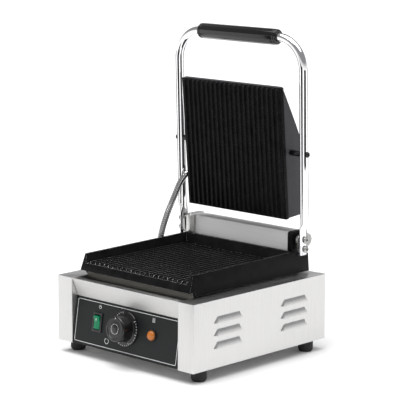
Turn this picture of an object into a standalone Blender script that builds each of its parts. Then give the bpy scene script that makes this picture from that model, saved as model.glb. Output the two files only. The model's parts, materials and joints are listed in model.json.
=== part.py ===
"""Single contact grill (panini press), modelled open, as an assembly of its real pieces.

Units are metres. The origin is on the floor, under the middle of the housing. +X is the
user's right, -Y is the front and +Z is up. The arm closes by turning about +X at the hinge.
"""

import math

import bmesh
import bpy
from mathutils import Matrix, Vector

# ---------------------------------------------------------------- driving dimensions
GAP = 0.0003  # clearance between neighbouring pieces
SHEET = 0.001  # stainless sheet
FOOT_HEIGHT = 0.0186
FOOT_RADIUS = 0.0122
FOOT_INSET_X = 0.016
FOOT_INSET_Y = 0.0294

HOUSING_WIDTH = 0.300
HOUSING_DEPTH = 0.3087
HOUSING_HEIGHT = 0.106
PILLAR_WIDTH = 0.033
REAR_RETURN = 0.015
BOTTOM_FLANGE = 0.010

LOUVRE_LENGTH = 0.063
LOUVRE_HEIGHT = 0.009
LOUVRE_RISE = 0.0035
LOUVRE_PITCH = 0.0198
LOUVRE_MIDDLE = 0.0557  # middle row above the housing's bottom
LOUVRE_SPREAD = 0.077  # group centres, either side of the middle
LOUVRE_SLOT = 0.003

TROUGH_DEPTH = 0.0333  # front plane to the wall under the plate
TROUGH_DROP = 0.0302
TROUGH_RISE = 0.0082  # trough wall above the deck, under the casting's lip
FASCIA_HEIGHT = 0.0297
FASCIA_RECESS = 0.0115  # how far back the fold above the control panel sits
PANEL_FOOT = 0.0013
OVERLAY_THICKNESS = 0.0008
TRAY_RIM_DROP = 0.005

# Control panel positions: across from the middle, and as a share of the panel's slope
SWITCH_X = -0.064
SWITCH_SHARE = 0.5404
KNOB_X = -0.001
KNOB_SHARE = 0.547
LAMP_X = 0.057
SWITCH_BEZEL = (0.0205, 0.031)
SWITCH_BODY = (0.0165, 0.027)
SWITCH_WELL = (0.0135, 0.0236)
SWITCH_DEPTH = 0.021
ROCKER_SIZE = (0.0125, 0.0205, 0.0045)
ROCKER_TILT = math.radians(8)
SPINDLE_RADIUS = 0.003
SKIRT_RADIUS = 0.0275
SKIRT_THICKNESS = 0.0032
KNOB_RADIUS = 0.0205
KNOB_HEIGHT = 0.025
THERMOSTAT_SIZE = (0.040, 0.024, 0.036)
SPINDLE_INSIDE = 0.010
SPINDLE_OUTSIDE = 0.018
LAMP_RADIUS = 0.0065
LAMP_BEZEL_RADIUS = 0.009

CAST_INSET = 0.0285  # lower casting's foot inside the housing's side
CAST_DRAFT = 0.0032  # how far its walls lean in, foot to top
CAST_LIFT = 0.0023  # casting's foot above the deck
CAST_FRONT = 0.0225  # wall's foot behind the housing's front plane
CAST_REAR = 0.0085  # casting's rear end in front of the housing's rear plane
CAST_LIP = 0.0090  # underside of the front lip, above the deck
LIP_OVERHANG = 0.013
LIP_RAKE = 0.0085  # how far the wall's front end leans back, lip to top
PAN_FLOOR = 0.0205  # above the deck
PAN_WALL_FRONT = 0.035
PAN_WALL_REAR = 0.038
PAN_WALL_TOP = 0.003
PAN_REAR_WALL = 0.047  # rear wall's inner face in front of the housing's rear plane
SHELF_HEIGHT = 0.0313  # casting's rear shelf above the deck
CAST_SKIN = 0.007
CAST_SIDE_SKIN = 0.0145
PAD_RADIUS = 0.004
RIB_PITCH = 0.01006
RIB_HEIGHT = 0.0035
RIB_WIDTH = 0.0056
RIB_TOP = 0.0030
RIB_SLOPE = 0.0045  # a lower rib's front end, top behind base
RIB_END = 0.002  # the other rib ends

HINGE_BACK = 0.02035  # hinge axis in front of the housing's rear plane
HINGE_RISE = 0.0555  # hinge axis above the deck
SHAFT_RADIUS = 0.006
SHAFT_PLAY = 0.0004
BLOCK_WIDTH = 0.0095
BLOCK_INSET = 0.0045  # block's outer face inside the casting's foot
BLOCK_LENGTH = 0.040
BLOCK_TOP = 0.0145  # above the hinge axis
COVER_PLAY = 0.0005
COVER_FRONT = 0.0145  # spring box front face, in front of the hinge axis
COVER_BEHIND = 0.0125  # and its rear face, behind the axis
COVER_TOP = 0.0113  # spring box top, above the hinge axis
SPRING_WIRE = 0.0015
SPRING_COIL = 0.0083
SPRING_TURNS = 6
SPRING_PITCH = 0.0042
SPRING_START = 0.050
WASHER_RADIUS = 0.010
LUG_THICKNESS = 0.0045

LEG_INSET = 0.0153  # legs inside the housing's sides
TUBE_RADIUS = 0.007
TUBE_FLAT = 0.008  # thickness of the legs' flattened ends
TUBE_SPREAD = 1.2  # how much wider the flattened ends are
FLAT_TOP = 0.0185  # along the leg, where the flattening ends
FLAT_RUN = 0.012
ARM_LEAN = math.radians(1.95)  # forward lean of the arm as modelled
ARM_OFFSET = 0.0165  # legs in front of the hinge axis
LEG_DROP = 0.0210
ARM_BEND = 0.050
ARM_BOLTS = (-0.0115, 0.0035)  # along the leg, from the hinge axis
BOLT_RADIUS = 0.003
BOLT_HEAD_RADIUS = 0.0055
BOLT_HEAD = 0.004
PIVOT_HEAD_RADIUS = 0.0045
GRIP_RADIUS = 0.0130
GRIP_PLAY = 0.0014
GRIP_FLUTES = 12
GRIP_ABOVE = 0.1825  # grip above the pivot, along the legs
PLATE_CLEAR = 0.0355  # plate's lower end from the hinge axis, along the legs

PLATE_LEAN = math.radians(3.05)  # upper plate's forward lean, measured from the arm
PLATE_PLAY = 0.0078  # plate's side inside the pan's walls
PLATE_SHORT = 0.0957  # how much shorter the plate is than the housing
FACE_AHEAD = 0.0215  # ribbed face in front of the pivot
UPPER_SKIN = 0.006
UPPER_RIB_HEIGHT = 0.004
UPPER_DEPTH = 0.048
CHAMFER_LENGTH = 0.062
CHAMFER_DEPTH = 0.039
COVER_WALL = 0.0015
SLEEVE_RADIUS = 0.0045
EAR_HALF = 0.009

ELEMENT_RADIUS = 0.0035
ELEMENT_INSET = 0.0275
CLAMP_HALF = (0.060, 0.050)
CLAMP_SHEET = 0.002
CLAMP_HOLE = 0.0038
WOOL_INSET = 0.0355
WOOL_THICKNESS = 0.008
ELEMENT_RUNS = 4
CONDUIT_RADIUS = 0.00525
CONDUIT_FITTING_RADIUS = 0.0085
CONDUIT_FITTING_HEIGHT = 0.014
ELBOW_SIZE = (0.0145, 0.014, 0.015)
ELBOW_UP = -0.058  # along the upper plate, from its pivot
ELBOW_FRONT = -0.0025  # its mouth, in front of the pivot
GLAND_X = -0.090
GLAND_RISE = 0.028
GLAND_RADIUS = 0.009
GLAND_BORE = 0.0042
GLAND_LENGTH = 0.0185

# ---------------------------------------------------------------- derived places
FRONT_Y = -HOUSING_DEPTH / 2
REAR_Y = HOUSING_DEPTH / 2
SIDE_X = HOUSING_WIDTH / 2
BOTTOM_Z = FOOT_HEIGHT
DECK_Z = FOOT_HEIGHT + HOUSING_HEIGHT
BAY_X = SIDE_X - PILLAR_WIDTH
TROUGH_Y = FRONT_Y + TROUGH_DEPTH
FOOT_X = SIDE_X - FOOT_INSET_X
FOOT_Y = REAR_Y - FOOT_INSET_Y
FOLD_Y = FRONT_Y + FASCIA_RECESS
FOLD_Z = DECK_Z - FASCIA_HEIGHT
PANEL_BASE_Z = BOTTOM_Z + PANEL_FOOT
PANEL_LENGTH = math.hypot(FASCIA_RECESS, FOLD_Z - PANEL_BASE_Z)
PANEL_LEAN = math.atan2(FASCIA_RECESS, FOLD_Z - PANEL_BASE_Z)
SWITCH_AT = (SWITCH_X, SWITCH_SHARE * PANEL_LENGTH)
KNOB_AT = (KNOB_X, KNOB_SHARE * PANEL_LENGTH)
LAMP_AT = (LAMP_X, SWITCH_SHARE * PANEL_LENGTH)
CAST_HALF_WIDTH = SIDE_X - CAST_INSET
CAST_RIM_HALF = CAST_HALF_WIDTH - CAST_DRAFT
CAST_FOOT_Z = DECK_Z + CAST_LIFT
LIP_Z = DECK_Z + CAST_LIP
PAN_Z = DECK_Z + PAN_FLOOR
RIB_TOP_Z = PAN_Z + RIB_HEIGHT
SHELF_Z = DECK_Z + SHELF_HEIGHT
CAST_REAR_Y = REAR_Y - CAST_REAR
CAST_FRONT_Y = FRONT_Y + CAST_FRONT
PAN_REAR_Y = REAR_Y - PAN_REAR_WALL
BLOCK_OUTER = CAST_HALF_WIDTH - BLOCK_INSET
COVER_HALF = BLOCK_OUTER - BLOCK_WIDTH - COVER_PLAY
HINGE_Y = REAR_Y - HINGE_BACK
HINGE_Z = DECK_Z + HINGE_RISE
LEG_X = SIDE_X - LEG_INSET
GRIP_LENGTH = 2 * (LEG_X - ARM_BEND) - GRIP_PLAY
LUG_OUTER = LEG_X - TUBE_RADIUS - GAP
LUG_INNER = LUG_OUTER - LUG_THICKNESS
BACKING_W = OVERLAY_THICKNESS + GAP + SHEET  # rear of the front panel, from the overlay's face
PLATE_HALF = CAST_RIM_HALF - PAN_WALL_TOP - PLATE_PLAY
UPPER_TOP = (HOUSING_DEPTH - PLATE_SHORT) / 2
PIVOT_REACH = PLATE_CLEAR + UPPER_TOP  # along the legs, from the hinge axis
ARM_REACH = PIVOT_REACH + GRIP_ABOVE
RIB_COUNT = int(2 * (CAST_RIM_HALF - 2 * PAN_WALL_TOP) / RIB_PITCH)
UPPER_RIB_COUNT = int(2 * PLATE_HALF / RIB_PITCH)
ELEMENT_HALF = PLATE_HALF - ELEMENT_INSET
RIB_BASE = -FACE_AHEAD + UPPER_RIB_HEIGHT
CAST_BACK = RIB_BASE + UPPER_SKIN
COVER_BACK = -FACE_AHEAD + UPPER_DEPTH
ROUND = 24  # sides of a round piece
SMALL_ROUND = 12  # sides of a screw


# ---------------------------------------------------------------- scene and materials
def clear_scene():
    for old in list(bpy.data.objects):
        bpy.data.objects.remove(old, do_unlink=True)


def new_collection(name):
    group = bpy.data.collections.new(name)
    bpy.context.scene.collection.children.link(group)
    return group


def material(name, colour, roughness, metallic):
    made = bpy.data.materials.new(name)
    made.use_nodes = True
    shader = made.node_tree.nodes["Principled BSDF"]
    shader.inputs["Base Color"].default_value = (*colour, 1.0)
    shader.inputs["Roughness"].default_value = roughness
    shader.inputs["Metallic"].default_value = metallic
    return made


clear_scene()
PARTS = new_collection("panini_press")
CUTTERS = new_collection("cutters")
CUTTERS.hide_render = True

STAINLESS = material("stainless", (0.72, 0.72, 0.70), 0.35, 1.0)
CHROME = material("chrome", (0.85, 0.85, 0.86), 0.08, 1.0)
STEEL = material("zinc_steel", (0.60, 0.60, 0.58), 0.40, 1.0)
BLACK_STEEL = material("black_steel", (0.030, 0.030, 0.032), 0.35, 1.0)
CAST_IRON = material("black_cast_iron", (0.020, 0.020, 0.021), 0.60, 0.3)
COVER_PAINT = material("dark_grey_enamel", (0.055, 0.055, 0.060), 0.50, 0.0)
OVERLAY_BLACK = material("overlay_black", (0.020, 0.023, 0.026), 0.45, 0.0)
KNOB_BLACK = material("knob_black", (0.018, 0.018, 0.020), 0.40, 0.0)
GRIP_BLACK = material("grip_black", (0.015, 0.015, 0.016), 0.30, 0.0)
SWITCH_BLACK = material("switch_black", (0.015, 0.015, 0.015), 0.45, 0.0)
ROCKER_GREEN = material("rocker_green", (0.01, 0.33, 0.16), 0.30, 0.0)
LENS_ORANGE = material("lens_orange", (0.75, 0.28, 0.05), 0.20, 0.0)
RUBBER = material("foot_rubber", (0.012, 0.012, 0.012), 0.75, 0.0)
ELEMENT_GREY = material("element_sheath", (0.20, 0.20, 0.19), 0.45, 1.0)
MINERAL_WOOL = material("mineral_wool", (0.70, 0.66, 0.55), 0.95, 0.0)
CERAMIC = material("ceramic", (0.80, 0.78, 0.72), 0.50, 0.0)
COPPER = material("copper", (0.80, 0.42, 0.28), 0.30, 1.0)


# ---------------------------------------------------------------- building blocks
def add(name, mesh, finish=None):
    """An object for a finished mesh; a cutter is one with no finish."""
    obj = bpy.data.objects.new(name, mesh)
    (PARTS if finish else CUTTERS).objects.link(obj)
    if finish:
        mesh.materials.clear()
        mesh.materials.append(finish)
    else:
        obj.hide_render = True
        obj.display_type = "WIRE"
    return obj


def mesh_of(bm, name):
    mesh = bpy.data.meshes.new(name)
    bm.normal_update()
    bmesh.ops.recalc_face_normals(bm, faces=bm.faces)
    bm.to_mesh(mesh)
    bm.free()
    return mesh


def box(name, low, high, finish=None):
    low, high = Vector(low), Vector(high)
    bm = bmesh.new()
    bmesh.ops.create_cube(bm, size=1)
    bmesh.ops.scale(bm, vec=high - low, verts=bm.verts)
    bmesh.ops.translate(bm, vec=(low + high) / 2, verts=bm.verts)
    return add(name, mesh_of(bm, name), finish=finish)


def rod(name, start, end, radius, sides=ROUND, finish=None, end_radius=None):
    """A round bar between two points."""
    start, end = Vector(start), Vector(end)
    along = end - start
    bm = bmesh.new()
    bmesh.ops.create_cone(
        bm,
        cap_ends=True,
        segments=sides,
        radius1=radius,
        radius2=radius if end_radius is None else end_radius,
        depth=along.length,
    )
    turn = along.to_track_quat("Z", "Y").to_matrix().to_4x4()
    bm.transform(Matrix.Translation((start + end) / 2) @ turn)
    return add(name, mesh_of(bm, name), finish=finish)


def outline_solid(name, outlines, thickness, facing, finish=None):
    """A flat outline with holes, as a plate whose middle plane is `facing`, a 4x4 matrix."""
    curve = bpy.data.curves.new(name, "CURVE")
    curve.dimensions = "2D"
    curve.fill_mode = "BOTH"
    curve.extrude = thickness / 2
    for outline in outlines:
        spline = curve.splines.new("POLY")
        spline.points.add(len(outline) - 1)
        for point, (across, up) in zip(spline.points, outline):
            point.co = (across, up, 0, 1)
        spline.use_cyclic_u = True
    return meshed(name, curve, facing, finish)


def wire(name, points, radius, resolution=2, finish=None):
    """A round wire or tube through the points, with flat ends."""
    curve = bpy.data.curves.new(name, "CURVE")
    curve.dimensions = "3D"
    curve.bevel_depth = radius
    curve.bevel_resolution = resolution
    curve.use_fill_caps = True
    spline = curve.splines.new("POLY")
    spline.points.add(len(points) - 1)
    for point, place in zip(spline.points, points):
        point.co = (*place, 1)
    return meshed(name, curve, Matrix.Identity(4), finish)


def meshed(name, curve, matrix, finish):
    """The curve's solid as a mesh object with its caps welded."""
    guide = bpy.data.objects.new(name + "_guide", curve)
    CUTTERS.objects.link(guide)
    bpy.context.view_layer.update()
    graph = bpy.context.evaluated_depsgraph_get()
    mesh = bpy.data.meshes.new_from_object(guide.evaluated_get(graph))
    bpy.data.objects.remove(guide)
    bm = bmesh.new()
    bm.from_mesh(mesh)
    bmesh.ops.remove_doubles(bm, verts=bm.verts, dist=0.00001)
    bm.normal_update()
    bmesh.ops.recalc_face_normals(bm, faces=bm.faces)
    bm.transform(matrix)
    bm.to_mesh(mesh)
    bm.free()
    return add(name, mesh, finish=finish)


def turned(name, profile, matrix, finish=None, steps=ROUND):
    """A turned piece: the (radius, height) profile runs down its outer side."""
    bm = bmesh.new()
    points = [bm.verts.new((radius, 0, height)) for radius, height in profile]
    for first, second in zip(points, points[1:]):
        bm.edges.new((first, second))
    if profile[0][0] > 0:
        bm.edges.new((points[-1], points[0]))
    mesh = bpy.data.meshes.new(name)
    bm.to_mesh(mesh)
    bm.free()
    obj = add(name, mesh, finish=finish)
    obj.matrix_world = matrix
    screw = obj.modifiers.new("turn", "SCREW")
    screw.steps = steps
    screw.render_steps = steps
    screw.use_merge_vertices = True
    screw.merge_threshold = 0.00001
    return obj


def cut(obj, *cutters):
    for cutter in cutters:
        made = obj.modifiers.new("cut_" + cutter.name, "BOOLEAN")
        made.operation = "DIFFERENCE"
        made.object = cutter
    return obj


def unite(obj, *others):
    for other in others:
        made = obj.modifiers.new("join_" + other.name, "BOOLEAN")
        made.operation = "UNION"
        made.object = other
    return obj


def frame(name, location, lean):
    """An empty that leans about X, for pieces built in its own axes."""
    empty = bpy.data.objects.new(name, None)
    PARTS.objects.link(empty)
    empty.location = location
    empty.rotation_euler.x = lean
    return empty


def ride(parent, *objects):
    for obj in objects:
        obj.parent = parent


def plane_x(x):
    """Outline axes across and up become +Y and +Z, at this x."""
    turn = Matrix(((0, 0, 1, 0), (1, 0, 0, 0), (0, 1, 0, 0), (0, 0, 0, 1)))
    return Matrix.Translation((x, 0, 0)) @ turn


def plane_y(y):
    """Outline axes across and up become +X and +Z, at this y."""
    return Matrix.Translation((0, y, 0)) @ Matrix.Rotation(math.pi / 2, 4, "X")


def plane_z(z):
    return Matrix.Translation((0, 0, z))


def axis_x(x, y, z, sign=1):
    """Turned piece's height becomes +X (or -X), from this point."""
    return Matrix.Translation((x, y, z)) @ Matrix.Rotation(sign * math.pi / 2, 4, "Y")


def circle(across, up, radius, sides=ROUND):
    turn = 2 * math.pi / sides
    return [
        (across + radius * math.cos(turn * i), up + radius * math.sin(turn * i))
        for i in range(sides)
    ]


def rectangle(low_across, low_up, high_across, high_up):
    return [
        (low_across, low_up),
        (high_across, low_up),
        (high_across, high_up),
        (low_across, high_up),
    ]


def hull(points):
    """Convex outline round the points."""
    ordered = sorted(set(points))
    halves = []
    for run in (ordered, ordered[::-1]):
        side = []
        for point in run:
            while len(side) > 1 and turns_right(side[-2], side[-1], point):
                side.pop()
            side.append(point)
        halves.append(side[:-1])
    return halves[0] + halves[1]


def turns_right(a, b, c):
    return (b[0] - a[0]) * (c[1] - a[1]) - (b[1] - a[1]) * (c[0] - a[0]) <= 1e-12


def taper_x(obj, low_z, low_half, high_z, high_half):
    """Narrows a straight solid so that its half width runs linearly between two heights."""
    for vertex in obj.data.vertices:
        share = (vertex.co.z - low_z) / (high_z - low_z)
        vertex.co.x *= (low_half + share * (high_half - low_half)) / low_half
    return obj


# ---------------------------------------------------------------- housing
def foot_screw_profile(reach):
    head = BOLT_HEAD_RADIUS - GAP
    return [(0, reach), (0.0024, reach), (0.0024, 0), (head, 0), (head, -0.003), (0, -0.003)]


def feet_and_screws():
    hole = 0.0028
    recess = (0.0065, 0.008)
    for side, x in (("left", -FOOT_X), ("right", FOOT_X)):
        for end, y in (("front", -FOOT_Y), ("rear", FOOT_Y)):
            place = Matrix.Translation((x, y, 0))
            turned(
                f"foot_{end}_{side}",
                [
                    (hole, BOTTOM_Z - GAP),
                    (FOOT_RADIUS, BOTTOM_Z - GAP),
                    (FOOT_RADIUS, 0.004),
                    (FOOT_RADIUS - 0.002, 0),
                    (recess[0], 0),
                    (recess[0], recess[1]),
                    (hole, recess[1]),
                ],
                place,
                RUBBER,
                16,
            )
            turned(
                f"foot_screw_{end}_{side}",
                foot_screw_profile(BOTTOM_Z + 0.006 - recess[1]),
                Matrix.Translation((x, y, recess[1] - GAP)),
                STEEL,
                SMALL_ROUND,
            )


def bottom_plate():
    low = (-(SIDE_X - SHEET - GAP), FRONT_Y + 0.0055, BOTTOM_Z)
    high = (SIDE_X - SHEET - GAP, REAR_Y - SHEET - GAP, BOTTOM_Z + BOTTOM_FLANGE)
    plate = box("bottom_plate", low, high, STAINLESS)
    inside = box(
        "bottom_inside",
        (low[0] + SHEET, low[1] + SHEET, BOTTOM_Z + SHEET),
        (high[0] - SHEET, high[1] - SHEET, high[2] + 0.01),
    )
    cut(plate, inside)
    for side in (-1, 1):
        ends = sorted((side * (BAY_X - GAP), side * (BAY_X + SHEET + GAP)))
        notch = box(
            f"pillar_notch_{side:+d}",
            (ends[0], low[1] - 0.01, BOTTOM_Z - 0.01),
            (ends[1], TROUGH_Y - SHEET + GAP, high[2] + 0.01),
        )
        cut(plate, notch)
    for x in (-FOOT_X, FOOT_X):
        for y in (-FOOT_Y, FOOT_Y):
            where = (x, y, BOTTOM_Z - 0.005)
            through = (x, y, BOTTOM_Z + 0.005)
            cut(plate, rod(f"foot_hole_{x:+.3f}_{y:+.3f}", where, through, 0.0028, SMALL_ROUND))
    for count in range(5):
        y = -0.06 + 0.03 * count
        low_corner = (-0.05, y - 0.002, 0)
        cut(plate, box(f"bottom_vent_{count}", low_corner, (0.05, y + 0.002, BOTTOM_Z + 0.005)))


def louvre_hood(name, side, y, z):
    """A pressed hood: half a stretched ball standing on the side's outer face."""
    bm = bmesh.new()
    bmesh.ops.create_uvsphere(bm, u_segments=10, v_segments=8, radius=LOUVRE_HEIGHT / 2)
    bmesh.ops.rotate(bm, cent=(0, 0, 0), matrix=Matrix.Rotation(math.pi / 2, 3, "X"), verts=bm.verts)
    stretch = LOUVRE_LENGTH / 2 - LOUVRE_HEIGHT / 2
    for vertex in bm.verts:
        vertex.co.x *= LOUVRE_RISE / (LOUVRE_HEIGHT / 2)
        if abs(vertex.co.y) > 1e-6:
            vertex.co.y += math.copysign(stretch, vertex.co.y)
    whole = bm.verts[:] + bm.edges[:] + bm.faces[:]
    cut_at = (-side * SHEET / 2, 0, 0)
    bmesh.ops.bisect_plane(
        bm, geom=whole, plane_co=cut_at, plane_no=(side, 0, 0), clear_inner=True
    )
    bmesh.ops.holes_fill(bm, edges=bm.edges)
    bmesh.ops.translate(bm, vec=(side * SIDE_X, y, z), verts=bm.verts)
    return add(name, mesh_of(bm, name))


def side_panel(name, side):
    """One sheet folded into side wall, front pillar with its inner return, and rear return."""
    inner = SIDE_X - SHEET
    path = [
        (BAY_X, TROUGH_Y - SHEET),
        (BAY_X, FRONT_Y),
        (SIDE_X, FRONT_Y),
        (SIDE_X, REAR_Y),
        (SIDE_X - REAR_RETURN, REAR_Y),
        (SIDE_X - REAR_RETURN, REAR_Y - SHEET),
        (inner, REAR_Y - SHEET),
        (inner, FRONT_Y + SHEET),
        (BAY_X + SHEET, FRONT_Y + SHEET),
        (BAY_X + SHEET, TROUGH_Y - SHEET),
    ]
    outline = [(side * x, y) for x, y in path]
    middle = plane_z((BOTTOM_Z + DECK_Z) / 2)
    panel = outline_solid(name, [outline], HOUSING_HEIGHT, middle, STAINLESS)
    for group, y in (("front", -LOUVRE_SPREAD), ("rear", LOUVRE_SPREAD)):
        for row in (-1, 0, 1):
            z = BOTTOM_Z + LOUVRE_MIDDLE + row * LOUVRE_PITCH
            label = f"{name}_{group}_{row + 1}"
            unite(panel, louvre_hood(label + "_hood", side, y, z))
            half = LOUVRE_LENGTH / 2 - LOUVRE_HEIGHT / 2
            ends = sorted((side * (SIDE_X - 0.004), side * (SIDE_X + 0.006)))
            low_z = z - LOUVRE_HEIGHT / 2 + 0.0003
            slot = box(
                label + "_slot",
                (ends[0], y - half, low_z),
                (ends[1], y + half, low_z + LOUVRE_SLOT),
            )
            cut(panel, slot)


def gland_hole_z():
    return BOTTOM_Z + GLAND_RISE


def rear_panel():
    half = SIDE_X - SHEET - GAP
    back = REAR_Y - SHEET - GAP
    low_z = BOTTOM_Z + BOTTOM_FLANGE + GAP
    outline = rectangle(-half, low_z, half, DECK_Z - SHEET - GAP)
    hole = circle(GLAND_X, gland_hole_z(), GLAND_RADIUS - 0.0017)
    middle = plane_y(back - SHEET / 2)
    outline_solid("rear_panel", [outline, hole], SHEET, middle, STAINLESS)


def deck():
    """Top sheet, with the trough's rear wall and the tray's shelf below it."""
    half = SIDE_X - SHEET - GAP
    front = FRONT_Y + SHEET + GAP
    back = REAR_Y - SHEET - GAP
    tab = BAY_X + SHEET + GAP
    outline = [
        (half, front),
        (half, back),
        (-half, back),
        (-half, front),
        (-tab, front),
        (-tab, TROUGH_Y),
        (tab, TROUGH_Y),
        (tab, front),
    ]
    opening = rectangle(
        -(CAST_HALF_WIDTH - 0.017), CAST_FRONT_Y + 0.03, CAST_HALF_WIDTH - 0.017, CAST_REAR_Y - 0.02
    )
    lower = conduit_lower_place()
    hole = circle(lower[0], lower[1], CONDUIT_RADIUS + 0.0012, 16)
    top = outline_solid(
        "deck", [outline, opening, hole], SHEET, plane_z(DECK_Z - SHEET / 2), STAINLESS
    )
    wall_half = BAY_X - GAP
    shelf_z = DECK_Z - TROUGH_DROP - SHEET
    wall = box(
        "trough_wall",
        (-wall_half, TROUGH_Y, shelf_z),
        (wall_half, TROUGH_Y + SHEET, DECK_Z + TROUGH_RISE),
    )
    shelf = box(
        "tray_shelf",
        (-wall_half, FOLD_Y + 0.0025, shelf_z),
        (wall_half, TROUGH_Y + SHEET / 2, shelf_z + SHEET),
    )
    unite(top, wall, shelf)


def grease_tray():
    """Removable tray; its sloping front wall is the bright strip above the control panel."""
    half = BAY_X - 0.0005
    low_z = FOLD_Z
    back = TROUGH_Y - 0.0025
    outline = [
        (FRONT_Y, DECK_Z),
        (FOLD_Y, low_z),
        (back, low_z),
        (back, DECK_Z - TRAY_RIM_DROP),
    ]
    wall = SHEET / math.cos(math.atan2(FASCIA_RECESS, FASCIA_HEIGHT))
    run = FASCIA_RECESS / FASCIA_HEIGHT
    above = 0.01
    hollow = [
        (FRONT_Y + wall - run * above, DECK_Z + above),
        (FOLD_Y + wall - run * SHEET, low_z + SHEET),
        (back - SHEET, low_z + SHEET),
        (back - SHEET, DECK_Z + above),
    ]
    body = outline_solid("grease_tray", [outline[::-1]], 2 * half, plane_x(0), STAINLESS)
    inside = outline_solid("tray_inside", [hollow[::-1]], 2 * (half - SHEET), plane_x(0))
    cut(body, inside)


# ---------------------------------------------------------------- control panel
def panel_frame():
    """Origin at the panel's lower edge; local +Z up the slope, local -Y outward."""
    return frame("control_panel_frame", (0, FRONT_Y, PANEL_BASE_Z), -PANEL_LEAN)


def panel_place():
    """World place of the panel frame, from the same values as its empty."""
    return Matrix.Translation((0, FRONT_Y, PANEL_BASE_Z)) @ Matrix.Rotation(-PANEL_LEAN, 4, "X")


def control_panel(parent):
    half = BAY_X - 0.0004
    switch = rectangle(*switch_rectangle(SWITCH_BODY, GAP))
    knob = circle(*KNOB_AT, SPINDLE_RADIUS + 0.0012, 16)
    lamp = circle(*LAMP_AT, LAMP_RADIUS + GAP)
    overlay = outline_solid(
        "control_overlay",
        [rectangle(-half, 0, half, PANEL_LENGTH - GAP), switch, knob, lamp],
        OVERLAY_THICKNESS,
        plane_y(OVERLAY_THICKNESS / 2),
        OVERLAY_BLACK,
    )
    backing = outline_solid(
        "front_panel",
        [rectangle(-half, 0, half, PANEL_LENGTH - 0.0012), switch, knob, lamp],
        SHEET,
        plane_y(BACKING_W - SHEET / 2),
        STAINLESS,
    )
    ride(parent, overlay, backing)


def switch_rectangle(size, grow):
    x, up = SWITCH_AT
    half_x, half_up = size[0] / 2 + grow, size[1] / 2 + grow
    return (x - half_x, up - half_up, x + half_x, up + half_up)


def switch(parent):
    x, up = SWITCH_AT
    bezel = box(
        "rocker_switch_housing",
        (x - SWITCH_BEZEL[0] / 2, -0.002, up - SWITCH_BEZEL[1] / 2),
        (x + SWITCH_BEZEL[0] / 2, -GAP, up + SWITCH_BEZEL[1] / 2),
        SWITCH_BLACK,
    )
    body = box(
        "switch_body",
        (x - SWITCH_BODY[0] / 2, -0.001, up - SWITCH_BODY[1] / 2),
        (x + SWITCH_BODY[0] / 2, SWITCH_DEPTH, up + SWITCH_BODY[1] / 2),
    )
    well = box(
        "switch_well",
        (x - SWITCH_WELL[0] / 2, -0.01, up - SWITCH_WELL[1] / 2),
        (x + SWITCH_WELL[0] / 2, 0.010, up + SWITCH_WELL[1] / 2),
    )
    cut(unite(bezel, body), well)
    pivot = frame("rocker_pivot", (x, 0.0005, up), ROCKER_TILT)
    half = ROCKER_SIZE[1] / 2
    proud = ROCKER_SIZE[2]
    outline = [
        (-proud, half),
        (-proud * 0.55, 0),
        (-proud, -half),
        (0.0015, -half),
        (0.0050, -half * 0.55),
        (0.0050, half * 0.55),
        (0.0015, half),
    ]
    button = outline_solid("rocker_button", [outline], ROCKER_SIZE[0], plane_x(0), ROCKER_GREEN)
    ride(pivot, button)
    ride(parent, bezel, body, well, pivot)


def thermostat(parent):
    x, up = KNOB_AT
    facing = Matrix.Translation((x, 0, up)) @ Matrix.Rotation(math.pi / 2, 4, "X")
    front = BACKING_W + GAP
    body = box(
        "thermostat_body",
        (x - THERMOSTAT_SIZE[0] / 2, front, up - THERMOSTAT_SIZE[2] / 2),
        (x + THERMOSTAT_SIZE[0] / 2, front + THERMOSTAT_SIZE[1], up + THERMOSTAT_SIZE[2] / 2),
        CERAMIC,
    )
    hole = rod(
        "thermostat_hole",
        (x, -0.01, up),
        (x, front + SPINDLE_INSIDE + 0.002, up),
        SPINDLE_RADIUS + 0.0008,
        16,
    )
    cut(body, hole)
    spindle = rod(
        "thermostat_spindle",
        (x, front + SPINDLE_INSIDE, up),
        (x, -SPINDLE_OUTSIDE, up),
        SPINDLE_RADIUS,
        16,
        STEEL,
    )
    bore = SPINDLE_RADIUS + GAP
    knob = turned(
        "thermostat_knob",
        [
            (0, KNOB_HEIGHT),
            (KNOB_RADIUS - 0.0030, KNOB_HEIGHT),
            (KNOB_RADIUS - 0.0010, KNOB_HEIGHT - 0.0010),
            (KNOB_RADIUS - 0.0002, KNOB_HEIGHT - 0.0030),
            (KNOB_RADIUS + 0.0005, SKIRT_THICKNESS + 0.0015),
            (KNOB_RADIUS + 0.0020, SKIRT_THICKNESS + 0.0004),
            (SKIRT_RADIUS - 0.0015, SKIRT_THICKNESS),
            (SKIRT_RADIUS, SKIRT_THICKNESS - 0.0012),
            (SKIRT_RADIUS, 0.0008),
            (bore, 0.0008),
            (bore, SPINDLE_OUTSIDE + 0.001),
            (0, SPINDLE_OUTSIDE + 0.001),
        ],
        facing,
        KNOB_BLACK,
        32,
    )
    notch = box(
        "knob_notch",
        (x - 0.0008, -SKIRT_THICKNESS - 0.001, up + SKIRT_RADIUS - 0.0035),
        (x + 0.0008, 0.001, up + SKIRT_RADIUS + 0.001),
    )
    notch.parent = knob
    notch.matrix_parent_inverse = facing.inverted()
    cut(knob, notch)
    ride(parent, body, hole, spindle, knob)


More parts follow.
